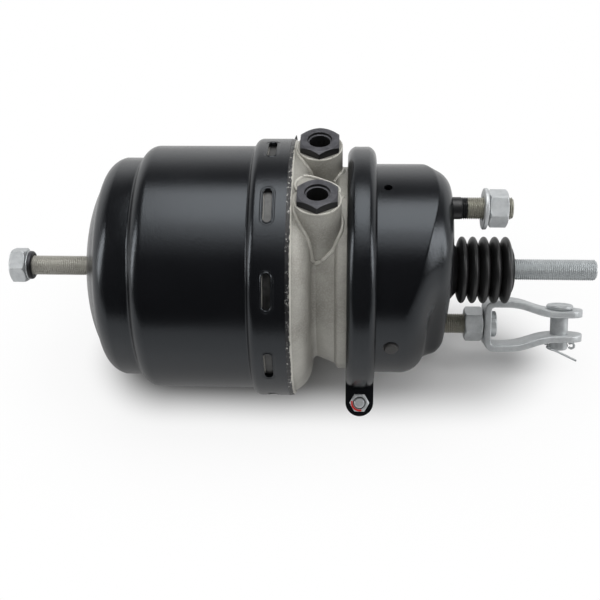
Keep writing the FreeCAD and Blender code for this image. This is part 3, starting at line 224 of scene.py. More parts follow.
def drilled(mesh, drills):
    """The mesh less each closed drill surface."""
    work = bpy.data.objects.new("work", mesh)
    bpy.context.scene.collection.objects.link(work)
    tools = []
    for points, faces in drills:
        tool_mesh = bpy.data.meshes.new("drill")
        tool_mesh.from_pydata((points * MM).tolist(), [], faces.tolist())
        tool = bpy.data.objects.new("drill", tool_mesh)
        bpy.context.scene.collection.objects.link(tool)
        cut = work.modifiers.new("cut", "BOOLEAN")
        cut.object = tool
        cut.solver = "EXACT"
        tools.append(tool)
    made = bpy.data.meshes.new_from_object(work.evaluated_get(bpy.context.evaluated_depsgraph_get()))
    for item in (work, *tools):
        bpy.data.objects.remove(item)
    return made


def cad_copy(name):
    """A CAD node's skin as points in millimetres and faces, its loose triangles merged and its flats made whole."""
    built = bmesh.new()
    built.from_mesh(frame["nodes"][name].data)
    bmesh.ops.remove_doubles(built, verts=built.verts, dist=1e-6)
    bmesh.ops.dissolve_limit(built, angle_limit=math.radians(0.8), verts=built.verts, edges=built.edges)
    points = np.array([corner.co[:] for corner in built.verts]) / MM
    faces = [[corner.index for corner in face.verts] for face in built.faces]
    built.free()
    return points, faces


def piece(name, surface, body, look, replaces=(), sharp=35, bevel=0.0, drills=()):
    """A mesh in its place, welded and turned outwards, that rides on a body."""
    points, faces = surface
    mesh = bpy.data.meshes.new(name)
    mesh.from_pydata((np.asarray(points) * MM).tolist(), [], [list(face) for face in faces])
    built = bmesh.new()
    built.from_mesh(mesh)
    bmesh.ops.remove_doubles(built, verts=built.verts, dist=2e-6)
    bmesh.ops.recalc_face_normals(built, faces=built.faces)
    built.to_mesh(mesh)
    built.free()
    if drills:
        mesh = drilled(mesh, drills)
        mesh.name = name
    mesh.shade_smooth()
    mesh.set_sharp_from_angle(angle=math.radians(sharp))
    made = bpy.data.objects.new(name, mesh)
    bpy.context.scene.collection.objects.link(made)
    mesh.materials.clear()
    mesh.materials.append(look)
    if bevel:
        edge = made.modifiers.new("edges", "BEVEL")
        edge.width = bevel * MM
        edge.segments = 2
        edge.limit_method = "ANGLE"
        edge.angle_limit = math.radians(28)
    if isinstance(body, str):
        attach(made, body)
    if replaces:
        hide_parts(*replaces)
    return made


# Finishes: procedural, on Object coordinates; black oxide also reads which way a face points, for painted light on its
# faces


def node(tree, kind, sockets=None, **settings):
    """A shader node. Each socket gets its value, or a link where the value is another node's socket."""
    made = tree.nodes.new("ShaderNode" + kind)
    for key, setting in settings.items():
        setattr(made, key, setting)
    for key, value in (sockets or {}).items():
        if isinstance(value, bpy.types.NodeSocket):
            tree.links.new(value, made.inputs[key])
        else:
            made.inputs[key].default_value = value
    return made


def finish(name, **shader):
    """A material with its Principled shader and Object coordinates."""
    made = bpy.data.materials.new(name)
    made.use_nodes = True
    tree = made.node_tree
    principled = tree.nodes["Principled BSDF"]
    for key, value in shader.items():
        principled.inputs[key.replace("_", " ")].default_value = value
    place = node(tree, "TexCoord").outputs["Object"]
    return made, tree, principled, place


def worked(tree, operation, *values):
    """One step of arithmetic on values or sockets."""
    return node(tree, "Math", dict(enumerate(values)), operation=operation).outputs[0]


def noise(tree, place, scale, detail=3.0, rough=0.5):
    """Noise through the piece's own space, scale cells to the metre."""
    sockets = {"Vector": place, "Scale": scale, "Detail": detail, "Roughness": rough}
    return node(tree, "TexNoise", sockets).outputs["Fac"]


def ramp(tree, value, *stops):
    """A tone for each stop along a value, blended between stops."""
    made = node(tree, "ValToRGB", {"Fac": value})
    while len(made.color_ramp.elements) < len(stops):
        made.color_ramp.elements.new(0.5)
    for element, (spot, tone) in zip(made.color_ramp.elements, stops):
        element.position = spot
        element.color = (*tone, 1) if isinstance(tone, tuple) else (tone, tone, tone, 1)
    return made.outputs["Color"]


def spread(tree, value, low, high, start=0.0, end=1.0):
    """A value's stretch from start to end laid evenly onto low to high."""
    return node(tree, "MapRange", {"Value": value, "From Min": start, "From Max": end,
                                   "To Min": low, "To Max": high}).outputs["Result"]


def eased_spread(tree, value, start, end, low, high):
    """Low up to start, high from end on, and a smooth S between them."""
    sockets = {"Value": value, "From Min": start, "From Max": end, "To Min": low, "To Max": high}
    return node(tree, "MapRange", sockets, interpolation_type="SMOOTHSTEP").outputs["Result"]


MIX_SHARE, MIX_FIRST, MIX_SECOND, MIX_RESULT = 0, 6, 7, 2


def mixed(tree, share, first, second):
    """The first colour, passing into the second as share goes from 0 to 1."""
    made = node(tree, "Mix", data_type="RGBA")
    tree.links.new(share, made.inputs[MIX_SHARE])
    for key, colour in ((MIX_FIRST, first), (MIX_SECOND, second)):
        if isinstance(colour, bpy.types.NodeSocket):
            tree.links.new(colour, made.inputs[key])
        else:
            made.inputs[key].default_value = (*colour, 1)
    return made.outputs[MIX_RESULT]


def bump(tree, principled, height, depth, strength=1.0):
    """Fine relief, its depth in millimetres."""
    made = node(tree, "Bump", {"Height": height, "Distance": depth * MM, "Strength": strength})
    tree.links.new(made.outputs["Normal"], principled.inputs["Normal"])


def black_paint():
    """Thick black paint: smooth gloss with fine orange peel and a faint haze."""
    made, tree, shader, place = finish("black_paint", IOR=1.5, Specular_Tint=(0.86, 0.93, 1.0, 1))
    haze = noise(tree, place, 14.0, 4.0)
    peel = noise(tree, place, 750.0, 3.0, 0.6)
    clouded = spread(tree, haze, 0, 1, 0.3, 0.7)
    tree.links.new(mixed(tree, clouded, (0.0034, 0.0036, 0.0044), (0.0052, 0.0055, 0.0066)),
                   shader.inputs["Base Color"])
    tree.links.new(spread(tree, haze, 0.20, 0.27, 0.3, 0.7), shader.inputs["Roughness"])
    bump(tree, shader, peel, 0.15, 0.7)
    return made


def chipped_paint():
    """Paint over a sheared steel edge: torn patches show bare bright metal."""
    made, tree, shader, place = finish("chipped_paint")
    tears = noise(tree, place, 420.0, 6.0, 0.7)
    bare = ramp(tree, tears, (0.57, 0.0), (0.63, 1.0))
    tree.links.new(mixed(tree, bare, (0.010, 0.010, 0.011), (0.55, 0.54, 0.52)), shader.inputs["Base Color"])
    tree.links.new(bare, shader.inputs["Metallic"])
    tree.links.new(spread(tree, tears, 0.22, 0.45), shader.inputs["Roughness"])
    bump(tree, shader, tears, 0.6)
    return made


def cast_aluminium(name, light):
    """As-cast skin: warm grey with a fine grain and soft stains. light scales its tones, and the lighter copy is a
    painted highlight on edges and beads.
    """
    made, tree, shader, place = finish(name, Metallic=0.25)
    stain = noise(tree, place, 26.0, 5.0, 0.6)
    grain = noise(tree, place, 800.0, 4.0, 0.7)
    dark, middle, pale = ((0.25, 0.243, 0.218), (0.335, 0.328, 0.30), (0.42, 0.412, 0.378))
    # light brightens every tone: a lit copy of the finish, used as a painted highlight.
    tone = ramp(tree, stain, *((spot, tuple(light * part for part in shade))
                               for spot, shade in ((0.32, dark), (0.5, middle), (0.72, pale))))
    tree.links.new(mixed(tree, spread(tree, grain, 0.0, 0.4, 0.45, 0.7), tone, (0.56, 0.54, 0.49)),
                   shader.inputs["Base Color"])
    tree.links.new(spread(tree, grain, 0.40, 0.58, 0.3, 0.7), shader.inputs["Roughness"])
    bump(tree, shader, grain, 0.10, 0.7)
    return made


def zinc_plate():
    """Bright zinc: pale grey with the cloudy patches and fine pits of plating."""
    made, tree, shader, place = finish("zinc_plate", Metallic=0.55)
    cloud = noise(tree, place, 120.0, 5.0, 0.65)
    fine = noise(tree, place, 1100.0, 3.0, 0.6)
    tone = ramp(tree, cloud, (0.3, (0.44, 0.46, 0.47)), (0.55, (0.56, 0.58, 0.59)), (0.8, (0.66, 0.68, 0.685)))
    tree.links.new(tone, shader.inputs["Base Color"])
    tree.links.new(spread(tree, cloud, 0.34, 0.52, 0.3, 0.7), shader.inputs["Roughness"])
    bump(tree, shader, fine, 0.05, 0.6)
    return made


def stud_steel(name, painted_to):
    """Bare olive-grey steel thread. Towards the mounting face it is under the housing's black paint."""
    made, tree, shader, place = finish(name)
    station = node(tree, "SeparateXYZ", {"Vector": place}).outputs["X"]
    edge = noise(tree, place, 300.0, 2.0)
    shifted = worked(tree, "ADD", station, spread(tree, edge, -0.0012, 0.0012))
    bare = spread(tree, shifted, 0, 1, painted_to * MM - 0.0003, painted_to * MM + 0.0003)
    wear = noise(tree, place, 500.0, 4.0)
    steel = ramp(tree, wear, (0.3, (0.27, 0.265, 0.22)), (0.7, (0.36, 0.35, 0.305)))
    tree.links.new(mixed(tree, bare, (0.010, 0.010, 0.011), steel), shader.inputs["Base Color"])
    tree.links.new(worked(tree, "MULTIPLY", bare, 0.5), shader.inputs["Metallic"])
    tree.links.new(spread(tree, wear, 0.28, 0.46), shader.inputs["Roughness"])
    return made


def plain_steel(name, dark, light, rough=(0.35, 0.55), metal=0.9):
    """Steel of one tone, mottled, with a fine grain."""
    made, tree, shader, place = finish(name, Metallic=metal)
    cloud = noise(tree, place, 160.0, 5.0, 0.6)
    tree.links.new(ramp(tree, cloud, (0.3, dark), (0.7, light)), shader.inputs["Base Color"])
    tree.links.new(spread(tree, cloud, rough[0], rough[1], 0.3, 0.7), shader.inputs["Roughness"])
    bump(tree, shader, noise(tree, place, 1300.0, 2.0), 0.03, 0.6)
    return made


def black_oxide():
    """Machined steel, blackened. Faces that point up are painted a lighter violet grey than the flanks: a painted
    highlight on top, painted shade on the flanks.
    """
    made, tree, shader, place = finish("black_oxide", Metallic=0.5)
    # Painted light: how far a face points up sets a painted highlight on top and painted shade (near black) on the
    # flanks.
    facing = node(tree, "SeparateXYZ", {"Vector": node(tree, "NewGeometry").outputs["True Normal"]}).outputs["Z"]
    level = spread(tree, facing, 0, 1, 0.55, 0.95)
    wear = noise(tree, place, 300.0, 4.0)
    tone = ramp(tree, wear, (0.3, (0.060, 0.060, 0.068)), (0.7, (0.095, 0.095, 0.106)))
    tree.links.new(mixed(tree, level, (0.018, 0.018, 0.019), tone), shader.inputs["Base Color"])
    tree.links.new(spread(tree, wear, 0.38, 0.5, 0.3, 0.7), shader.inputs["Roughness"])
    bump(tree, shader, noise(tree, place, 1300.0, 2.0), 0.03, 0.6)
    return made


def moulded(name, tone, rough):
    """Moulded rubber or plastic, and thick coats: one tone with bloom, and a fine skin."""
    made, tree, shader, place = finish(name)
    bloom = noise(tree, place, 60.0, 4.0)
    tree.links.new(ramp(tree, bloom, (0.3, tuple(0.75 * c for c in tone)), (0.7, tone)), shader.inputs["Base Color"])
    tree.links.new(spread(tree, bloom, rough - 0.06, rough + 0.06, 0.3, 0.7), shader.inputs["Roughness"])
    bump(tree, shader, noise(tree, place, 420.0, 3.0), 0.06, 0.6)
    return made


PAINT = black_paint()
CHIPPED = chipped_paint()
CASTING = cast_aluminium("cast_aluminium", 1.0)
# Painted highlight: a lighter copy of the cast finish for beads, ribs and brims.
CASTING_PAINTED_HIGHLIGHT = cast_aluminium("cast_painted_highlight", 1.5)
ZINC = zinc_plate()
OXIDE = black_oxide()
DARK_STEEL = plain_steel("dark_steel", (0.05, 0.05, 0.05), (0.11, 0.11, 0.108))
ROD_STEEL = plain_steel("rod_steel", (0.44, 0.465, 0.475), (0.52, 0.545, 0.555), (0.34, 0.44), 0.55)
BOLT_STEEL = plain_steel("bolt_steel", (0.37, 0.36, 0.32), (0.44, 0.43, 0.39), (0.36, 0.46), 0.45)
SPRING_COAT = moulded("spring_coat", (0.035, 0.035, 0.038), 0.42)
RUBBER = moulded("black_rubber", (0.013, 0.013, 0.0135), 0.42)
PLUG = moulded("plug_rubber", (0.035, 0.034, 0.033), 0.5)
RED = moulded("red_mark", (0.60, 0.018, 0.012), 0.4)
PLASTIC = moulded("guide_plastic", (0.62, 0.60, 0.55), 0.5)
CAD_FINISHES = {
    "black_paint": PAINT, "cast_aluminium": CASTING, "zinc_plate": ZINC, "bare_thread_steel": BOLT_STEEL,
    "dark_steel": DARK_STEEL, "spring_steel": SPRING_COAT, "black_oxide": OXIDE, "black_rubber": RUBBER,
    "guide_plastic": PLASTIC,
}
for row in frame["record"]["subparts"]:
    mesh = frame["nodes"][row["node"]].data
    mesh.materials.clear()
    mesh.materials.append(CAD_FINISHES[row["material_slot"]])


# Housings, clamp ring and casting

HOUSING_TURNS = 240
SLOTS = 10
SLOT_TURN = math.radians(20.6)
SLOT_MIDDLE = -129.9
SLOT_ROUND = 3.0
SLOT_LINE = 10.0
PATCH = 6.0
BAND_INSIDE = 94.5
RIM = -117.0


def slot_patch(middle):
    """One sector of the band with its slot. With q the nearest point of the slot's middle line to a point of
    the sector's edge and n the way from q to it, the ring at distance d is q + (3.5 + d) n. The rings
    step down a pressed rim, go through the wall and come back on the inside."""
    per_sector = HOUSING_TURNS // SLOTS
    half = math.pi / SLOTS
    along = np.linspace(-half, half, per_sector, endpoint=False)
    across = np.linspace(-PATCH, PATCH, 6, endpoint=False)
    angle = np.concatenate([along, 0 * across + half, -along, 0 * across - half])
    shift = np.concatenate([0 * along - PATCH, across, 0 * along + PATCH, -across])
    arc = angle * BAND
    line = np.clip(arc, -SLOT_LINE, SLOT_LINE)
    way = np.stack([arc - line, shift], 1)
    way /= np.linalg.norm(way, axis=1, keepdims=True)
    rings = [(angle, SLOT_MIDDLE + shift, BAND)]
    for distance, radius in ((2.4, BAND), (1.8, BAND - 0.35), (1.2, BAND - 0.4), (0.7, BAND - 0.05), (0.3, BAND),
                             (0.0, BAND - 0.3), (0.0, BAND - 1.6), (0.3, BAND_INSIDE)):
        spot = (SLOT_ROUND + distance) * way
        rings.append(((line + spot[:, 0]) / BAND, SLOT_MIDDLE + spot[:, 1], radius))
    edge, first = rings[0], rings[1]
    rings[1:1] = [(edge[0] * (1 - share) + first[0] * share, edge[1] * (1 - share) + first[1] * share, BAND)
                  for share in (0.15, 0.35, 0.55, 0.75, 0.9)]
    rings.append((angle, SLOT_MIDDLE + shift, BAND_INSIDE))
    turn = np.stack([ring[0] for ring in rings]) + middle
    x = np.stack([ring[1] for ring in rings])
    radius = np.array([ring[2] for ring in rings])[:, None]
    return grid(np.stack([x, radius * np.sin(turn), -radius * np.cos(turn)], -1), loop_v=True)


def make_spring_housing():
    """Pressed shell of the spring side: turned skins, and ten sectors with their slots."""
    start = SLOT_TURN - math.pi / SLOTS
    rear, front = SLOT_MIDDLE - PATCH, SLOT_MIDDLE + PATCH
    shell = bent((rear, BAND), (-138.4, BAND), (-143.8, 92.8, 6), (-145.2, 92, -1.4), (-216, 92), (-226.5, 85.5, 11),
                 (-229, 83, -2.7), (-242.5, 83), (-255.5, 69, 17), (-267.5, 25, 80),
                 (-264.5, 22, 3), (-259, 22), (-259, 8.6), (-256, 8.6), (-256, 25), (-264.2, 25.2), (-253.4, 66, -77),
                 (-242.5, 80, -14), (-229, 80), (-225, 84, 4), (-216, 89, -8), (-147.5, 89), (-141, BAND_INSIDE, 8),
                 (rear, BAND_INSIDE))
    rim = [(front, BAND_INSIDE), (RIM, BAND_INSIDE), (RIM, BAND), (front, BAND)]
    sectors = [slot_patch(SLOT_TURN + sector * TAU / SLOTS) for sector in range(SLOTS)]
    skins = [turned(profile, HOUSING_TURNS, start) for profile in (shell, rim)]
    piece("spring_housing_shell", joined(*skins, *sectors), "chamber", PAINT, ("spring_housing",),
          sharp=20)


def make_crimped_lip():
    """The band's edge, rolled over the flange: torn along its front, with one burr that stands out at the top."""
    turns = 720
    angle = np.linspace(0, TAU, turns, endpoint=False)
    tear = ragged(360, turns, 0.34, 3) + ragged(90, turns, 0.16, 4)
    wave = ragged(160, turns, 0.18, 5)
    burr = np.exp(-((angle - math.radians(137)) / 0.02) ** 2)
    x = np.stack([0 * tear - 117.4, 0 * tear - 116.6, -115.6 + 0.5 * tear, -114.5 + tear, -114.2 + tear,
                  -114.6 + 0 * tear, 0 * tear - 117.4], 1)
    r = np.stack([97.3 + 0 * wave, 97.4 + 0.5 * wave - 0.05, 97.25 + wave + 2.5 * burr, 97.1 + wave + 4 * burr,
                  96.4 + wave + 3 * burr, 95.6 + 0 * wave, 95.6 + 0 * wave], 1)
    points = np.stack([x, r * np.sin(angle)[:, None], -r * np.cos(angle)[:, None]], -1)
    piece("crimped_lip", grid(points, loop_u=True, loop_v=True), "chamber", CHIPPED, sharp=25)


CUP_RADIUS = 79.0
SHOULDER_DEPTH = 17.0
SHOULDER_ROUND = 18.5
PAD_UPPER = (23.5, 51.0)
PAD_LOWER = (-38.5, 36.0)
PAD_DRAFT = math.radians(18)
FACE_ROUND = 9.0
CUP_WALL = 3.0
ROD_HOLE = 22.0
HEART = -45.0


def cup_distance(spot):
    """Distance to the pressed cup: a rounded cylinder and, with a soft valley between, the drafted pad, whose
    outline is two circles and their tangents. Both end at the cup's own radius."""
    x, y, z = spot[..., 0], spot[..., 1], spot[..., 2]
    r = np.hypot(y, z)
    ahead, out = x + SHOULDER_DEPTH + SHOULDER_ROUND, r - CUP_RADIUS + SHOULDER_ROUND
    cup = np.hypot(np.maximum(ahead, 0), np.maximum(out, 0)) + np.minimum(np.maximum(ahead, out), 0) - SHOULDER_ROUND
    lower_z, lower_round = PAD_LOWER
    upper_z, upper_round = PAD_UPPER
    lean = (lower_round - upper_round) / (upper_z - lower_z)
    upright = math.sqrt(1 - lean ** 2)
    side, height = np.abs(y), z - lower_z
    share = height * upright - side * lean
    egg = np.where(share < 0, np.hypot(side, height) - lower_round,
                   np.where(share > upright * (upper_z - lower_z), np.hypot(side, z - upper_z) - upper_round,
                            side * upright + height * lean - lower_round))
    out = (egg + x * math.tan(PAD_DRAFT)) * math.cos(PAD_DRAFT) + FACE_ROUND
    ahead = x + FACE_ROUND
    pad = np.hypot(np.maximum(ahead, 0), np.maximum(out, 0)) + np.minimum(np.maximum(ahead, out), 0) - FACE_ROUND
    blend = 7 + 13 * np.clip((z + 10) / 60, 0, 1)
    return np.maximum(soft_least(cup, pad, blend), r - CUP_RADIUS)


def cup_skin(level, slopes, turns):
    """The skin at one distance: along each ray from the cup's heart the crossing is found by halving."""
    angle = np.linspace(0, TAU, turns, endpoint=False)[None, :]
    slope = np.asarray(slopes)[:, None]
    way = np.stack([np.cos(slope) + 0 * angle, np.sin(slope) * np.sin(angle), -np.sin(slope) * np.cos(angle)], -1)
    near, far = np.zeros(way.shape[:2]), np.full(way.shape[:2], 130.0)
    for halving in range(26):
        middle = (near + far) / 2
        inside = cup_distance(np.array([HEART, 0, 0]) + way * middle[..., None]) < level
        near, far = np.where(inside, middle, near), np.where(inside, far, middle)
    return np.array([HEART, 0, 0]) + way * near[..., None]


def make_service_housing():
    """Pressed cup with its mounting pad: the outer skin, the lip under the clamp ring, and the inner skin."""
    turns = 288
    outer = cup_skin(0.0, np.linspace(math.atan2(ROD_HOLE, -HEART), math.pi / 2, 120), turns)
    angle = np.linspace(0, TAU, turns, endpoint=False)
    lip = bent((-50, 79), (-56.4, 79), (-58.4, 81, -2.5), (-60, 88), (-63, 88), (-63, 78), (-60, 76), (-50, 76))
    edge = np.stack([np.repeat(lip[:, :1], turns, 1), lip[:, 1:] * np.sin(angle), -lip[:, 1:] * np.cos(angle)], -1)
    inner = cup_skin(-CUP_WALL, np.linspace(math.pi / 2, math.atan2(ROD_HOLE, -HEART - CUP_WALL), 44), turns)
    skin = grid(np.concatenate([outer, edge, inner]), loop_u=True, loop_v=True)
    vent = placed(lathe([(0, 0), (3, 0), (3, 170), (0, 170)], 48), UPRIGHT, (HEART - 1.6, 0, -85))
    piece("service_housing_cup", skin, "chamber", PAINT, ("service_housing",), sharp=40, drills=[vent])
    for side, name in ((1, "far"), (-1, "near")):
        cap = lathe(eased([(0, 2.3), (4.3, 2.1), (4.9, 1.4), (4.9, -2), (2.85, -2), (2.85, -5), (0, -5)],
                          [0, 0.8, 0.4, 0.1, 0.1, 0.2, 0], loop=False), 64)
        seat = lathe([(4.9, -0.5), (5.7, -0.5), (5.7, 0.3), (4.9, 0.3)], 64, loop=True)
        for part, skin, look, replaced in (("cap", cap, PLUG, ("vent_plugs",) if side > 0 else ()),
                                           ("seat", seat, RUBBER, ())):
            level = placed(skin, turn_x(-90 * side), (HEART + 1.5, side * CUP_RADIUS, 0))
            piece(f"vent_{part}_{name}", placed(level, turn_x(-2.3 * side)), "chamber", look, replaced)


FLANGE_FORM = bent((-114.6, 94.6), (-101, 71.3, -22), (-97, 67.3, 5), (-84, 72.8), (-81, 76.6, -6), (-71.6, 76.6))
BOSS_X = -95.8
BOSS_Y = 29.7
BOSS_ROUND = 16.5
BOSS_TOP = 92.6
PORT_FOOT = 92.58


def on_flange(x, y):
    """The flange's upper skin above a point of the level plane."""
    radius = np.interp(x, FLANGE_FORM[:, 0], FLANGE_FORM[:, 1])
    return np.stack([x, y, np.sqrt(np.maximum(radius ** 2 - y ** 2, 0))], -1)


def make_casting():
    """The flange itself with its rim drawn in under the lip, the pad that joins the near boss, and the beads where
    bosses, pad and neck run together.
    Beads, ribs and the pad's brim carry a painted highlight."""
    points, faces = cad_copy("centre_flange")
    radius = np.hypot(points[:, 1], points[:, 2])
    rim = (radius > 95.2) & (points[:, 0] < -114.0)
    points[rim, 1:] *= 0.9925
    piece("flange_casting", (points, faces), "chamber", CASTING, ("centre_flange",), sharp=32)
    angle = np.linspace(0, TAU, 96, endpoint=False)
    beads = []
    for y in (-BOSS_Y, BOSS_Y):
        foot = on_flange(BOSS_X + (BOSS_ROUND + 0.4) * np.cos(angle), y + (BOSS_ROUND + 0.4) * np.sin(angle))
        beads.append(tube(foot, 1.7, 12, loop=True))
        rim = np.stack([BOSS_X + 15.9 * np.cos(angle), y + 15.9 * np.sin(angle), BOSS_TOP - 0.45 + 0 * angle], 1)
        beads.append(tube(rim, 0.75, 10, loop=True))
    edge = [(-115.2, 93.5), (-113.1, 93.5), (-113.1, 95.9), (-113.7, 96.5), (-115.2, 96.5)]
    beads.append(turned(edge, 240, loop=True))
    # Painted highlight: the beads are in the lighter copy of the cast finish.
    piece("casting_beads", joined(*beads), "chamber", CASTING_PAINTED_HIGHLIGHT)
    pad = eased([(-110.5, -21), (-113.0, -14.5), (-111.5, -8.0), (-105.5, -2.9), (-98, -5.2), (-86.0, -11.5),
                 (-79.9, -17.5), (-80.2, -24.0), (-88, -34)], [3.0] * 9, 6)
    levels = [(0.0, -30.0), (0.0, -1.4), (0.5, -0.3), (1.1, 0.0), (1.7, -0.4), (2.1, -1.1)]
    middle = np.array([-95.0, -19.0])
    away = pad - middle
    length = np.linalg.norm(away, axis=1, keepdims=True)
    rings = [np.concatenate([middle + away * (1 - inset / length), np.full((len(pad), 1), BOSS_TOP + drop)], 1)
             for inset, drop in levels]
    rings.append(np.concatenate([middle + 0 * away, np.full((len(pad), 1), BOSS_TOP - 1.1)], 1))
    rings.insert(0, np.concatenate([middle + 0 * away, np.full((len(pad), 1), BOSS_TOP - 30.0)], 1))
    socket = lathe([(0, 0), (12.1, 0), (12.1, 40), (0, 40)], 64)
    piece("boss_pad", grid(np.stack(rings), loop_v=True), "chamber", CASTING,
          drills=[placed(socket, UPRIGHT, (BOSS_X, -BOSS_Y, 60))])
    brim = middle + away * (1 - 0.7 / length)
    brim = np.concatenate([brim, np.full((len(pad), 1), BOSS_TOP - 0.1)], 1)
    keep = np.hypot(brim[:, 0] - BOSS_X, brim[:, 1] + BOSS_Y) > BOSS_ROUND - 0.6
    first = np.argmax(keep & ~np.roll(keep, 1))
    brim = np.roll(brim, -first, 0)[:keep.sum()]
    # Painted highlight: the pad's brim is in the lighter copy of the cast finish.
    piece("boss_pad_brim", tube(brim, 0.8, 10), "chamber", CASTING_PAINTED_HIGHLIGHT)
    ribs = []
    for start, end in (((-113.4, 27.0, 82.5), (-106.4, 29.9, 68.5)), ((-84.1, 20.0, 70.0), (-78.5, 25.3, 72.3)),
                       ((-80.8, -11.5, 75.7), (-77.7, -6.6, 76.3)), ((-99.0, -44.6, 53.1), (-113.0, -28.8, 78.8)),
                       ((-99.0, -44.6, 53.1), (-81.0, -30.0, 69.5))):
        share = np.linspace(0, 1, 12)[:, None]
        ribs.append(tube(np.array(start) * (1 - share) + np.array(end) * share, 0.8 + 0 * share[:, 0], 10))
    # Painted highlight: the ribs are in the lighter copy of the cast finish.
    piece("casting_ribs", joined(*ribs), "chamber", CASTING_PAINTED_HIGHLIGHT)


def make_clamp_ring():
    """The channel ring, its ears' edges broken."""
    piece("clamp_ring_channel", cad_copy("clamp_ring"), "chamber", PAINT, ("clamp_ring",), bevel=0.8)


make_spring_housing()
make_crimped_lip()
make_service_housing()
make_casting()
make_clamp_ring()


# Threads, nuts and bolts


def make_studs():
    """Both studs: a painted smooth root, the thread, and a chamfered end."""
    for name, z, smooth, painted in (("mounting_stud_upper", STUD_Z, 6.2, 10.4),
                                     ("mounting_stud_lower", -STUD_Z, 0.5, 2.5)):
        bar = threaded([-12, -12, -7, -7, 41.8, 43, 43], [0, 9.6, 9.6, 8, 8, 6.8, 0], smooth, 42.6)
        piece(name + "_bar", placed(bar, ALONG_X, (0, 0, z)), "chamber", stud_steel(name + "_steel", painted),
              (name,))


def make_nuts():
    """Both mounting nuts, turned as the photo shows, chamfered at both ends."""
    for name, start, height, z in (("mounting_nut_upper", 25.5, 13.6, STUD_Z),
                                   ("mounting_nut_lower", 18.4, 14.4, -STUD_Z)):
        nut = hexagon(24, height, bore=8.15)
        piece(name + "_hexagon", placed(nut, ALONG_X @ spin(14.6), (start, 0, z)), "chamber", ZINC,
              (name,), bevel=0.35)


def make_washer():
    """The loose washer, tilted on its stud, with rolled edges."""
    tilt = math.radians(92.5)
    turn = np.array([[math.cos(tilt), 0, math.sin(tilt)], [0, 1, 0], [-math.sin(tilt), 0, math.cos(tilt)]])
    ring = lathe(eased([(8.7, 0), (15, 0), (15, 3), (8.7, 3)], [0.4, 1.1, 1.1, 0.4]), 96, loop=True)
    piece("mounting_washer_ring", placed(ring, turn, (21.6, 0, STUD_Z - 0.4)), "chamber", ZINC,
          ("mounting_washer_upper",))


def make_release_bolt():
    """Hexagon head with a chamfered outer end, and a long fine-threaded shank."""
    shank = threaded([0, 0, 125.3, 127.8, 127.8], [0, 7.5, 7.5, 6.6, 0], 3.0, 127.0, depth=0.6)
    piece("release_bolt_bar", placed(shank, ALONG_X, (-323.6, 0, 0)), "caging_bolt", BOLT_STEEL,
          ("release_bolt",))
    head = hexagon(24, 12.2, cone=0.95)
    piece("release_bolt_head", placed(head, ALONG_X, (-334.6, 0, 0)), "caging_bolt", ZINC, bevel=0.4)
    plate = lathe(eased([(8.15, 0), (11, 0), (11, 1.2), (8.15, 1.2)], [0.2, 0.5, 0.5, 0.2]), 96, loop=True)
    piece("release_washer_plate", placed(plate, ALONG_X, (-322.2, 0, 0)), "bolt_washer", ZINC)
    collar = lathe(eased([(8.15, 0), (10.9, 0), (10.9, 2.0), (9.8, 3.0), (8.15, 3.0)], [0.2, 0.4, 0.8, 0.5, 0.2]),
                   96, loop=True)
    piece("release_washer_collar", placed(collar, ALONG_X, (-320.9, 0, 0)), "bolt_washer", OXIDE,
          ("release_washer",))


def make_push_rod():
    """The rod, smooth inside the boot and threaded past it, with a chamfered end."""
    bar = threaded([-86.7, -86.7, 50.0, 50.3, 111.0, 112.5, 112.5], [0, 8.5, 8.5, 8, 8, 6.5, 0], 44.0, 112.0, depth=0.7)
    piece("push_rod_bar", placed(bar, ALONG_X), "rod", ROD_STEEL, ("push_rod",))


def make_ports():
    """Port adapters: a hexagon whose top and bottom are coned, and a plain bore below a lead-in."""
    for name, y in (("service_port", -BOSS_Y), ("parking_port", BOSS_Y)):
        angle = np.radians(np.arange(0, 360, 2.0))[:, None]
        side = 14 / np.cos((angle % (TAU / 6)) - TAU / 12)
        flat = 0 * side
        drop = (side - 13.7) * math.tan(math.radians(32))
        radii = [flat + 8.9, flat + 13.7, side, side, flat + 12, flat + 12, flat + 7.4, flat + 7.4,
                 flat + 8.6, flat + 8.9]
        levels = [flat + 6, flat + 6, 6 - drop, flat + 0.3, flat, flat - 14, flat - 14, flat + 4,
                  flat + 4.2, flat + 5.6]
        radius, level = np.hstack(radii), np.hstack(levels)
        body = grid(np.stack([radius * np.cos(angle), radius * np.sin(angle), level], -1), loop_u=True, loop_v=True)
        piece(name + "_hexagon", placed(body, spin(30), (BOSS_X, y, PORT_FOOT)), "chamber", OXIDE,
              (name + "_adapter",), bevel=0.35)


CLEVIS_TURN = turn_x(-36.5)
CLEVIS_PLACE = (0, 0, -STUD_Z)
PIN_X = 94.1


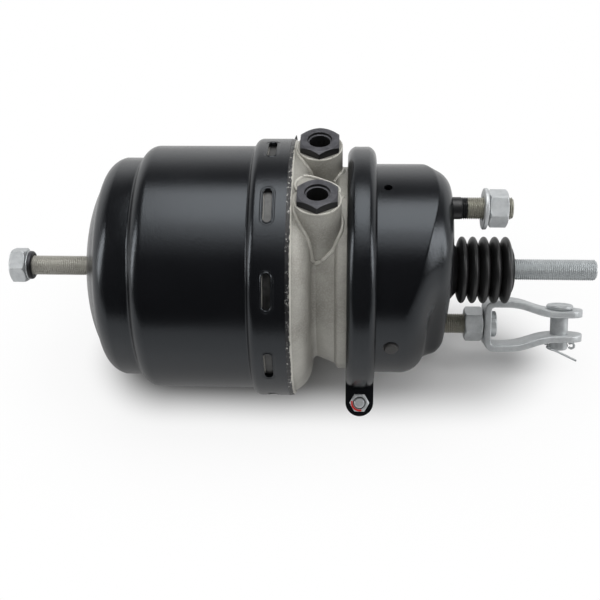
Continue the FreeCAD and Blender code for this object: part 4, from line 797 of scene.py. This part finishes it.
def make_clevis():
    """The forked strip, the bush pressed into it, and the pin with its dished head. The strip is a soft-edged
    bar swept along its middle line, whose arms end in half rounds, with the bush's and the pin's holes through it."""
    end, half = 112.1, 12.5
    bend = [(end, -9.75), (83.5, -9.75), (60.0, -17.75), (36.35, -17.75),
            (36.35, 17.75), (60.0, 17.75), (83.5, 9.75), (end, 9.75)]
    line = eased(bend, [0, 9, 9, 6, 6, 9, 9, 0], 12, loop=False)
    tip = end - half * (1 - np.cos(np.linspace(0, math.pi / 2, 16)))
    line = np.concatenate([np.stack([tip, 0 * tip - 9.75], 1), line[12:-12], np.stack([tip, 0 * tip + 9.75], 1)[::-1]])
    along = np.gradient(line, axis=0)
    along /= np.linalg.norm(along, axis=1, keepdims=True)
    out = np.stack([-along[:, 1], along[:, 0]], 1)
    past = np.clip((line[:, 0] - (end - half)) / half, 0, 1)
    width = np.maximum(np.sqrt(1 - past ** 2), 0.02)[:, None]
    edge = eased([(-2.75, -half), (2.75, -half), (2.75, half), (-2.75, half)], [1.5] * 4, 5)
    spread_y = edge[None, :, 1] * width
    inset = np.minimum(1, (width * half) / 1.5)
    points = np.stack([line[:, :1] + out[:, :1] * edge[:, 0] * inset, spread_y,
                       line[:, 1:] + out[:, 1:] * edge[:, 0] * inset], -1)
    caps = [points[index].mean(0, keepdims=True).repeat(len(edge), 0)[None] for index in (0, -1)]
    strip = grid(np.concatenate([caps[0], points, caps[1]]), loop_v=True)
    pin_hole = placed(lathe([(0, 0), (7.15, 0), (7.15, 60), (0, 60)], 64), CLEVIS_TURN,
                      CLEVIS_TURN @ np.array([PIN_X, 0, -30]) + np.array(CLEVIS_PLACE))
    bush_hole = placed(lathe([(0, 0), (9.15, 0), (9.15, 12), (0, 12)], 64), ALONG_X, (30, 0, -STUD_Z))
    piece("clevis_fork", placed(strip, CLEVIS_TURN, CLEVIS_PLACE), "chamber", ZINC, ("clevis",), sharp=30,
          drills=[pin_hole, bush_hole])
    bush = lathe(eased([(8.15, 0), (9.2, 0), (9.2, 5.6), (10.3, 5.6), (10.3, 10.1), (8.15, 10.1)],
                       [0.1, 0.1, 0.1, 0.3, 1.1, 0.5]), 96, loop=True)
    piece("clevis_bush_ring", placed(bush, ALONG_X, (33.6, 0, -STUD_Z)), "chamber", ZINC,
          ("clevis_bush",))
    pin = lathe(eased([(0, -20), (6.0, -20), (7, -19), (7, 12.8), (9.8, 12.8), (10.5, 13.5), (10.5, 15.3),
                       (9.6, 16.4), (7.6, 16.4), (6.6, 15.5), (0, 15.4)],
                      [0, 0.3, 0.4, 0.2, 0.3, 0.5, 0.7, 0.6, 0.5, 0.6, 0], loop=False), 96)
    piece("clevis_pin_shank", placed(pin, CLEVIS_TURN, CLEVIS_TURN @ np.array([PIN_X, 0, 0]) + np.array(CLEVIS_PLACE)),
          "clevis_pin_body", ZINC, ("clevis_pin",))
    eye_turn = np.radians(np.arange(150, -151, -20.0))[:, None]
    z = -17.0
    eye = np.hstack([PIN_X + 8.3 + 2.2 * (1 + np.cos(eye_turn)), 0 * eye_turn, z + 2.2 * np.sin(eye_turn)])
    through = [(PIN_X - 8.0, 0, z), (PIN_X + 7.6, 0, z)]
    short = [(PIN_X - 7.4, 0, z + 0.5), (PIN_X - 9.5, 0.2, z + 0.9), (PIN_X - 13.4, 0.6, z + 2.6)]
    long = [(PIN_X - 7.4, 0, z - 0.5), (PIN_X - 9.3, -1.2, z - 0.8), (PIN_X - 9.2, -5.0, z - 1.1),
            (PIN_X - 7.0, -8.6, z - 1.6), (PIN_X - 4.2, -9.3, z - 2.2), (PIN_X + 12.75, -9.3, z - 10.3)]
    legs = ((through, 1.0, 1.1), (short, 1.6, 0.85), (long, 2.6, 0.85))
    wires = [tube(eye, 1.0, 12)]
    wires += [tube(eased(path, size, 8, loop=False), radius, 12) for path, size, radius in legs]
    piece("cotter_wire", placed(joined(*wires), CLEVIS_TURN, CLEVIS_PLACE), "clevis_pin_body", ZINC,
          ("cotter_pin",))


def make_clamp_bolt():
    """The clamp's bolt and nut, across the ears and turned with them."""
    ears = turn_x(-45.4)
    turn = ears @ np.array([[1, 0, 0], [0, 0, -1], [0, 1, 0]], float)
    middle = ears @ np.array([-65, 0, -102.0])
    along = turn @ np.array([0, 0, 1.0])
    shank = threaded([-19.2, -19.2, -18.2, 12.6, 13.3, 13.3], [0, 3.4, 4, 4, 3.2, 0], 9.0, 13.0, 1.25, 0.4, 24)
    bolt = joined(placed(shank, turn, middle), placed(hexagon(13, 4.1, bore=4.7, cone=0.93), turn, middle + along * 8))
    piece("clamp_bolt_bar", bolt, "chamber", ZINC, ("clamp_bolt",), bevel=0.2)
    piece("clamp_nut_hexagon", placed(hexagon(13, 6.5, bore=4.15, cone=0.95), turn, middle - along * 14.5), "chamber",
          ZINC, ("clamp_nut",), bevel=0.2)
    angle = np.radians(np.linspace(165, 285, 40))[:, None]
    daub = np.array([(4.9, 4.05), (6.2, 4.05), (6.35, 4.15), (6.1, 4.3), (5.0, 4.3)])
    skin = np.stack([daub[:, 0] * np.cos(angle), daub[:, 0] * np.sin(angle), daub[:, 1] + 0 * angle], -1)
    ends = [skin[index].mean(0, keepdims=True).repeat(len(daub), 0)[None] for index in (0, -1)]
    piece("red_mark", placed(grid(np.concatenate([ends[0], skin, ends[1]]), loop_v=True), turn, middle + along * 8),
          "chamber", RED)


make_studs()
make_nuts()
make_washer()
make_release_bolt()
make_push_rod()
make_ports()
make_clamp_bolt()
make_clevis()


# Boot, springs and diaphragm, baked in place and riding on no body


def make_boot():
    """Rubber boot. Across a fold the radius is valley + (crest - valley)(1 - |u|^2.3)^0.8, with u from
    -1 to 1 between two valleys, so the crests are round and the valleys sharp."""
    first, pitch, folds, crest, valley = 11.5, 8.2, 5, 25.4, 16.8
    level = np.linspace(first - pitch / 2, first + (folds - 0.5) * pitch, folds * 28 + 1)
    u = 2 * ((level - first) / pitch - np.round((level - first) / pitch))
    fold = np.clip(1 - np.abs(u) ** 2.3, 0, 1) ** 0.8
    radius = valley + (crest - valley) * fold
    inner = np.stack([radius - 1.6 - 1.4 * fold, level], 1)[::-1]
    outer = np.stack([radius, level], 1)
    foot = eased([(16.3, 0.2), (23.4, 0.2), (23.4, 2.2), (18.0, 6.8)], [0.1, 0.4, 2.0, 1.0], loop=False)
    end = eased([(17.2, 49.0), (14.2, 50.2), (9.0, 50.2), (9.0, 46.3), (14.0, 46.3)], [0.8, 1.0, 0.2, 0.2, 0.5],
                loop=False)
    boot = lathe(np.concatenate([foot, outer, end, inner, [(16.3, 2.4)]]), 128, loop=True)
    made = piece("boot", placed(boot, ALONG_X, (0, 0, -0.9)), None, RUBBER, ("bellows",))
    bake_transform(made)


FLAT_TURNS = 0.6


def coil(start_x, end_x, start_radius, end_radius, turns, wire):
    """A round wire wound about X. Its pitch eases to zero over the end turns, so both ends lie flat."""
    t = np.linspace(0, 1, int(turns * 48))
    edge = FLAT_TURNS / turns
    lift = np.clip((t - edge) / (1 - 2 * edge), 0, 1)
    lift = lift * lift * (3 - 2 * lift)
    radius = start_radius + (end_radius - start_radius) * lift
    angle = t * turns * TAU
    path = np.stack([start_x + (end_x - start_x) * lift, radius * np.sin(angle), radius * np.cos(angle)], 1)
    return tube(path, wire / 2, 14)


def make_springs():
    """The power spring widens towards the piston, and the return spring narrows towards the mounting face."""
    power = piece("power_spring_coil", coil(-257.0, -224.7, 36, 76, 4.5, 9), None, SPRING_COAT,
                  ("power_spring",))
    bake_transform(power)
    back = piece("return_spring_coil", coil(-84.0, -9.5, 40, 30, 4.5, 4.2), None, SPRING_COAT,
                 ("return_spring",))
    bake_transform(back)


def make_diaphragm():
    """Rubber disc with a rolled wall and a clamped rim."""
    skin = eased([(0, -91.0), (56.5, -91.0), (62.0, -83.5), (71.8, -67.6), (76, -63.3), (87.6, -63.3), (87.6, -66.7),
                  (75.7, -66.7), (73.1, -69.6), (65.5, -84.3), (57.7, -93.7), (0, -93.7)],
                 [0, 4, 4, 3, 2, 0.5, 0.5, 2, 2, 4, 4, 0], steps=6, loop=False)
    made = piece("diaphragm_skin", placed(lathe(skin, 128), ALONG_X), None, RUBBER, ("diaphragm",))
    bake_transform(made)


make_boot()
make_springs()
make_diaphragm()


# Camera, lights and floor


def make_camera():
    """The photo's camera: its place, its own right, up and back directions, and its lens."""
    data = bpy.data.cameras.new("camera")
    data.lens = 61.397
    data.sensor_width = 36
    data.clip_start = 0.02
    data.clip_end = 60
    camera = bpy.data.objects.new("camera", data)
    right, up, back = (0.998753, 0.042002, -0.026969), (-0.010933, 0.71126, 0.702843), (0.048703, -0.701673, 0.710833)
    spot = (-0.072955, -0.568418, 0.540309)
    camera.matrix_world = Matrix([(*row, place) for row, place in zip(zip(right, up, back), spot)] + [(0, 0, 0, 1)])
    bpy.context.scene.collection.objects.link(camera)
    bpy.context.scene.camera = camera


def make_lamp(name, spot, target, size, power, mirrored=True):
    """A rectangular softbox turned to its target; mirrored tells whether glossy skins show it."""
    data = bpy.data.lights.new(name, "AREA")
    data.shape = "RECTANGLE"
    data.size, data.size_y = size
    data.energy = power
    lamp = bpy.data.objects.new(name, data)
    away = np.asarray(spot, float) - np.asarray(target, float)
    back = away / np.linalg.norm(away)
    right = np.cross((0, 0, 1.0) if abs(back[2]) < 0.95 else (0, 1.0, 0), back)
    right /= np.linalg.norm(right)
    up = np.cross(back, right)
    lamp.matrix_world = Matrix([(*row, place) for row, place in zip(zip(right, up, back), spot)] + [(0, 0, 0, 1)])
    lamp.visible_glossy = mirrored
    bpy.context.scene.collection.objects.link(lamp)


# The line under the chamber that the floor's painted shadow and its white blend follow, in metres: its middle and half
# length along X
SHADOW_MIDDLE = -0.095
SHADOW_HALF = 0.120
FLOOR_LEVEL = -0.0985
FLOOR_FRONT = -0.56
FLOOR_REACH = 12.0


def make_floor():
    """A wide floor just below the chamber. All of it goes by the distance from the line under the chamber's
    axis. Close by, the camera sees a lit surface that keeps the real shadow, and its tone is painted darker there
    as painted shadow, most of all under the spring side. Further out it passes into an even white, so the
    darkening near the chamber is painted shade as well as real shadow. Glossy rays see no lit floor, but a glow
    that grows with the distance, so the chamber's reflection of the floor holds a painted shadow."""
    mesh = bpy.data.meshes.new("floor")
    mesh.from_pydata([(-FLOOR_REACH, FLOOR_FRONT, FLOOR_LEVEL), (FLOOR_REACH, FLOOR_FRONT, FLOOR_LEVEL),
                      (FLOOR_REACH, FLOOR_REACH, FLOOR_LEVEL), (-FLOOR_REACH, FLOOR_REACH, FLOOR_LEVEL)],
                     [], [(0, 1, 2, 3)])
    made = bpy.data.materials.new("floor_white")
    made.use_nodes = True
    tree = made.node_tree
    tree.nodes.remove(tree.nodes["Principled BSDF"])
    spot = node(tree, "SeparateXYZ", {"Vector": node(tree, "TexCoord").outputs["Object"]}).outputs
    aside = worked(tree, "ABSOLUTE", worked(tree, "ADD", spot["X"], -SHADOW_MIDDLE))
    aside = worked(tree, "MAXIMUM", worked(tree, "SUBTRACT", aside, SHADOW_HALF), 0.0)
    away = node(tree, "CombineXYZ", {"X": aside, "Y": spot["Y"]}).outputs[0]
    distance = node(tree, "VectorMath", {0: away}, operation="LENGTH").outputs["Value"]
    # Painted shade: near the chamber the even white gives way to the lit floor, so the floor darkens there by this
    # blend as well as by the real shadow.
    close = eased_spread(tree, distance, 0.030, 0.082, 0.0, 0.86)
    wide = eased_spread(tree, distance, 0.06, 0.2, 0.0, 0.14)
    white_share = worked(tree, "ADD", close, wide)
    ray = node(tree, "LightPath").outputs
    # Painted shadow in reflections: glossy rays see a glow that is dimmer near the chamber.
    glow = worked(tree, "MULTIPLY", ray["Is Glossy Ray"], spread(tree, distance, 0.2, 0.85, 0.03, 0.17))
    # Painted shadow: the lit floor's tone is painted darker near the chamber, from 0.72 down to 0.14 under the spring
    # side.
    under = eased_spread(tree, spot["X"], -0.14, -0.07, 0.14, 0.72)
    lit = node(tree, "BsdfDiffuse", {"Color": eased_spread(tree, distance, 0.025, 0.085, under, 0.8)})
    even = node(tree, "Emission", {"Color": (1, 1, 1, 1), "Strength": worked(tree, "ADD", ray["Is Camera Ray"], glow)})
    viewed = worked(tree, "MULTIPLY", white_share, ray["Is Camera Ray"])
    share = worked(tree, "ADD", viewed, ray["Is Glossy Ray"])
    whole = node(tree, "MixShader", {0: share, 1: lit.outputs[0], 2: even.outputs[0]})
    tree.links.new(whole.outputs[0], tree.nodes["Material Output"].inputs["Surface"])
    floor = bpy.data.objects.new("floor", mesh)
    mesh.materials.append(made)
    bpy.context.scene.collection.objects.link(floor)


ROOM_LIGHT = 0.035


def make_world():
    """Studio air. The camera sees white all round. Every other ray sees white only behind the chamber and low:
    it fades out from 10 to 46 degrees above the level, and leaves the faint light of the room elsewhere."""
    world = bpy.data.worlds.new("studio")
    bpy.context.scene.world = world
    world.use_nodes = True
    tree = world.node_tree
    sky = tree.nodes["Background"]
    way = node(tree, "SeparateXYZ", {"Vector": node(tree, "TexCoord").outputs["Generated"]}).outputs
    behind = eased_spread(tree, way["Y"], -0.25, 0.35, 0.0, 1.0)
    low = eased_spread(tree, way["Z"], 0.18, 0.72, 1.0, 0.06)
    room = worked(tree, "ADD", worked(tree, "MULTIPLY", behind, low), ROOM_LIGHT)
    camera = node(tree, "LightPath").outputs["Is Camera Ray"]
    strength = node(tree, "Mix", {0: camera, 2: room, 3: 1.0}, data_type="FLOAT").outputs[0]
    tree.links.new(strength, sky.inputs["Strength"])
    sky.inputs["Color"].default_value = (1, 1, 1, 1)


make_camera()
make_floor()
make_world()
make_lamp("overhead", (-0.04, 0.22, 1.15), (-0.08, 0.05, 0), (0.95, 0.75), 8.5)
make_lamp("overhead_front", (-0.04, -0.29, 1.12), (-0.08, -0.1, 0), (0.95, 0.3), 1.6)
make_lamp("overhead_edge", (-0.04, -0.53, 1.05), (-0.08, -0.1, 0), (0.95, 0.22), 0.35)
make_lamp("front_fill", (-0.1, -1.3, 0.9), (-0.1, 0, 0), (1.8, 1.2), 9, False)
make_lamp("side_right", (1.1, -0.25, 0.55), (0, 0, 0.05), (0.3, 1.0), 6)
make_lamp("side_left", (-1.3, -0.25, 0.55), (-0.2, 0, 0.05), (0.3, 1.0), 6)
bpy.context.scene.view_settings.view_transform = "Standard"
